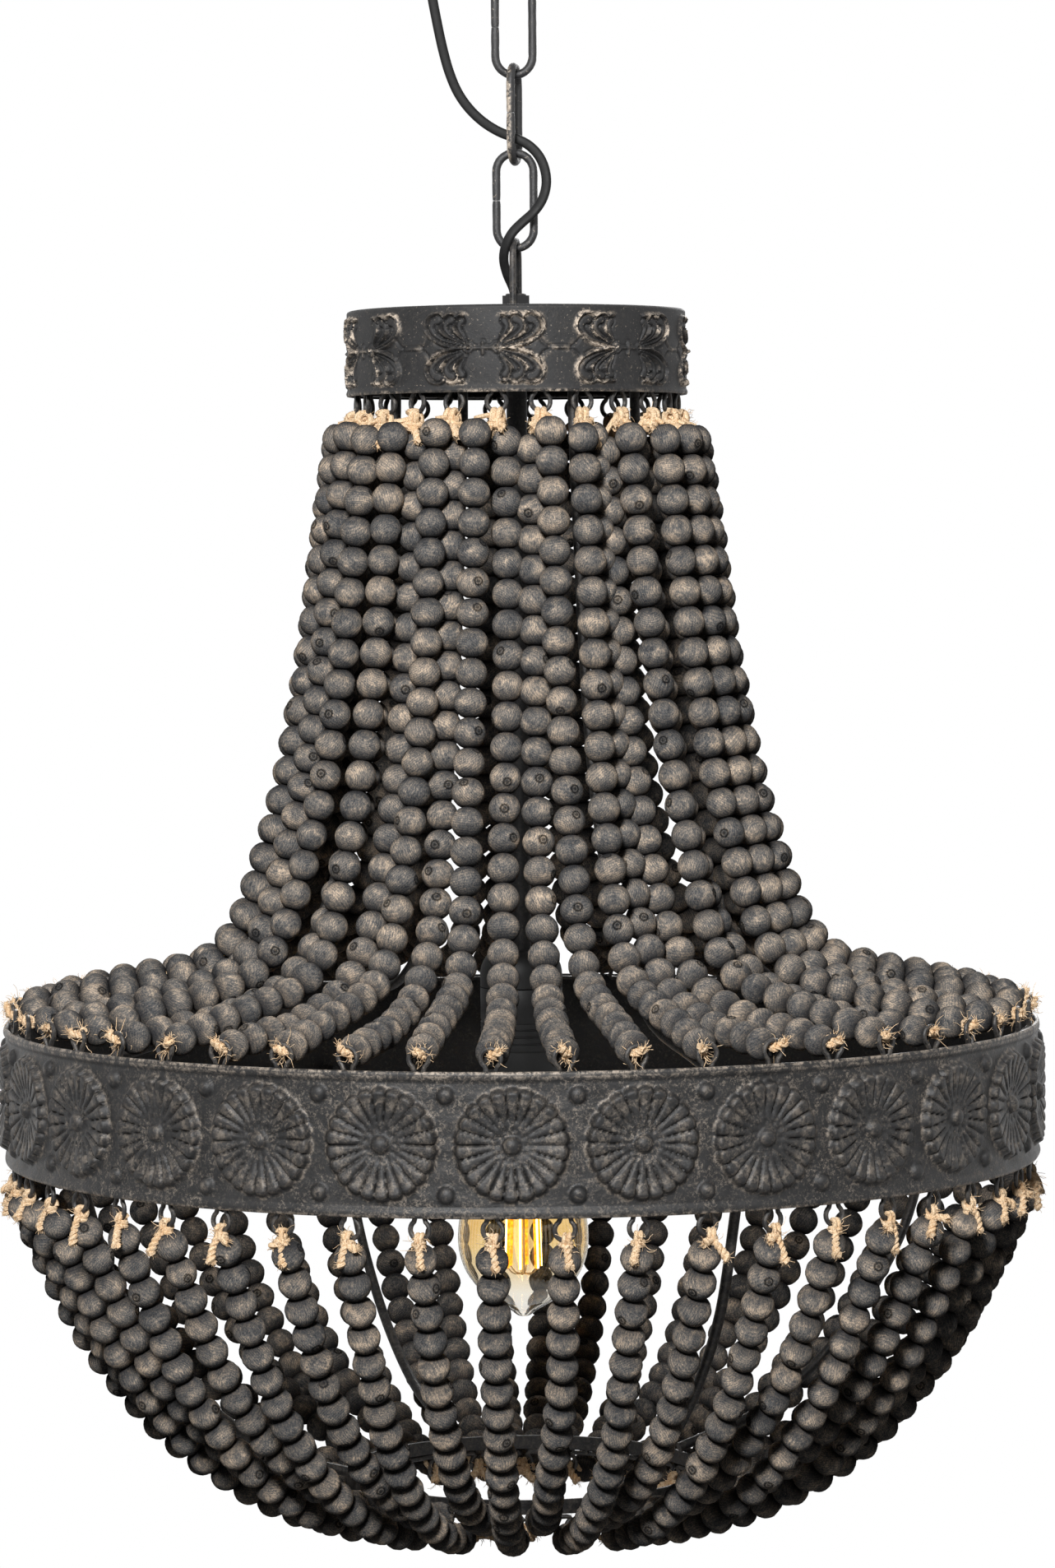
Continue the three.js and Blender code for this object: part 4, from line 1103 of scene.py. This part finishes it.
HOLDER_TOP = -557
CAP_PROFILE = [
    (18.5, -575), (19.7, -575), (20, -574.7), (20, -569.5), *arc((12, -569.5), 8, 12, 12, 84, 7),
    (11.5, HOLDER_TOP), (5.3, HOLDER_TOP), (5.3, -558.5), (10.8, -558.5),
    *arc((11.1, -569.8), 7.4, 11, 78, 6, 6),
]
SLEEVE_RIB = [(0, 0), (0, 2.4), (-0.5, 2.7), (-0.5, 3.1)]
SLEEVE_PROFILE = [
    (0, -596.5), (13.55, -596.5), (13.55, -620), (13.9, -620.3), (18.6, -620.3), (19, -619.8), (19, -606),
    (19.6, -605.4), *ribs(SLEEVE_RIB, 4, 20, -604.6, 3.4), (20, -590.4), (20, -575.7), (19.7, -575.3),
    (0, -575.3),
]
THREAD_RIB = [(0, 0), (0.05, 0.7), (-0.7, 1.5), (-0.7, 2.2)]
THREAD_PROFILE = [
    (0, -623.85), (12.4, -623.85), (13.2, -623.2), *ribs(THREAD_RIB, 6, 13.2, -622, 3), (13, -603.6),
    (12.6, -602.9), (6, -600.2), (4.5, -599.4), (4.4, -597.2), (3.4, -596.9), (0, -596.85),
]
GLASS_OUTLINE = [
    (0, -736.85), (3.2, -736.2), (6.5, -733.6), (10.5, -731.2), (16.5, -727.6), (22.5, -722.3),
    (27.3, -715.8), (30.6, -708.2), (31.9, -700.6), (31.6, -692), (29.8, -681), (27.2, -669), (24.2, -657),
    (21.2, -646), (18.6, -637), (16.6, -630.5), (14.8, -626.6), (13.2, -624.15),
]
GLASS_WALL = 0.9
MOUNT_PROFILE = [
    (0, -652), (2.2, -651.5), (3, -648), (2.6, -640), (4, -632), (6.5, -626), (6.8, -624.2),
    (0, -624.2),
]
STRIP_WIDTH = 1.1
HOT_WIDTH = 0.75
SUPPORT_WIRE = 0.35

piece("lampholder_dome", Shape().lathe(CAP_PROFILE, 64), black_plastic, "lampholder_cap")
piece("lampholder_sleeve", Shape().lathe(SLEEVE_PROFILE, 64), black_plastic, "lampholder")
piece("bulb_screw_cap", Shape().lathe(THREAD_PROFILE, 48), nickel, "bulb_cap", body="bulb")

glass_outside = [(max(r, 0), z) for r, z in smooth_through(GLASS_OUTLINE, 4)]
glass_inside = [(0, glass_outside[0][1] + GLASS_WALL)]
glass_inside += [(r - GLASS_WALL, z + 0.25 * max(0, 1 - i / 30))
                 for i, (r, z) in enumerate(glass_outside) if i and r - GLASS_WALL > 0.01]
glass_shape = Shape().lathe(glass_outside + glass_inside[::-1], 72)
piece("bulb_envelope", glass_shape, amber_glass, "bulb_glass", body="bulb", sharp=80)

filaments = Shape()
mount = Shape().lathe(MOUNT_PROFILE, 24)
for i in range(6):
    angle = radians(60 * i + 20)
    out = np.array([cos(angle), sin(angle), 0])
    top, foot = out * 6.6 + (0, 0, -652), out * 8.4 + (0, 0, -712.5)
    strip = even([top, foot], 12)
    filaments.tube(strip, STRIP_WIDTH, 8, hot=0)
    filaments.tube(strip + out * 0.55, HOT_WIDTH, 8, hot=1)
    upper = [out * 1.4 + (0, 0, -644), out * 3.6 + (0, 0, -648.5), top]
    lower = [foot, out * 5 + (0, 0, -715.5), out * 1 + (0, 0, -715.8)]
    for wire in (upper, lower):
        mount.tube(smooth_through(wire, 4), SUPPORT_WIRE, 6)
mount.tube([(0, 0, -650), (0, 0, -680), (0, 0, -716)], 0.8, 8)
piece("lit_filaments", filaments, lit_filament, "bulb_filament", body="bulb")
piece("filament_mount", mount, mount_glass, "bulb_filament", body="bulb")

# CAD nodes that keep their shape

for name in ("ceiling_bracket", "canopy_nut", "stem_nut", "stem_lock_nut"):
    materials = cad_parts[name].data.materials
    materials.clear()
    materials.append(wire_metal.material)

# Light, floor and white surroundings

WHITE = (1, 1, 1, 1)
AMBIENT = 0.03
FLOOR_HEIGHT = -2
FLOOR_CORNERS = [(-3, -3, 0), (3, -3, 0), (3, 3, 0), (-3, 3, 0)]
FLOOR_SHADE = (*grey(0.86), 1)
FLOOR_BOUNCE = (*grey(0.13), 1)


world = bpy.data.worlds.new("surroundings")
bpy.context.scene.world = world
world.use_nodes = True
surroundings = Graph(world.node_tree)
white = surroundings.node("Background", (WHITE, 1))
ambient = surroundings.node("Background", (WHITE, AMBIENT))
surroundings.seen_directly(white, ambient, "World Output")

floor_mesh = bpy.data.meshes.new("floor")
floor_mesh.from_pydata(FLOOR_CORNERS, [], [(0, 1, 2, 3)])
floor = bpy.data.objects.new("floor", floor_mesh)
floor.location = (0, 0, FLOOR_HEIGHT)
show(floor)
floor_paint = Paint("pale_floor")
floor_paint.set(Base_Color=FLOOR_SHADE, Roughness=0.8)
bounce = floor_paint.node("BsdfDiffuse", (FLOOR_BOUNCE,))
floor_paint.seen_directly(floor_paint.shader.outputs[0], bounce, "Material Output")
floor_mesh.materials.append(floor_paint.material)


def area_light(name, place, target, size, power):
    data = bpy.data.lights.new(name, "AREA")
    data.size = size
    data.energy = power
    lamp = bpy.data.objects.new(name, data)
    lamp.location = place
    lamp.rotation_euler = (Vector(target) - Vector(place)).to_track_quat("-Z", "Y").to_euler()
    show(lamp)


area_light("key", (-0.36, -2.47, 0.72), (0, 0, -0.5), size=0.45, power=103)
area_light("fill", (1.5, -1.9, 0.2), (0, 0, -0.55), size=1.2, power=2)
area_light("back", (0.25, 2.4, 0.6), (0, 0, -0.5), size=1.2, power=50)

bpy.context.scene.view_settings.view_transform = "Standard"
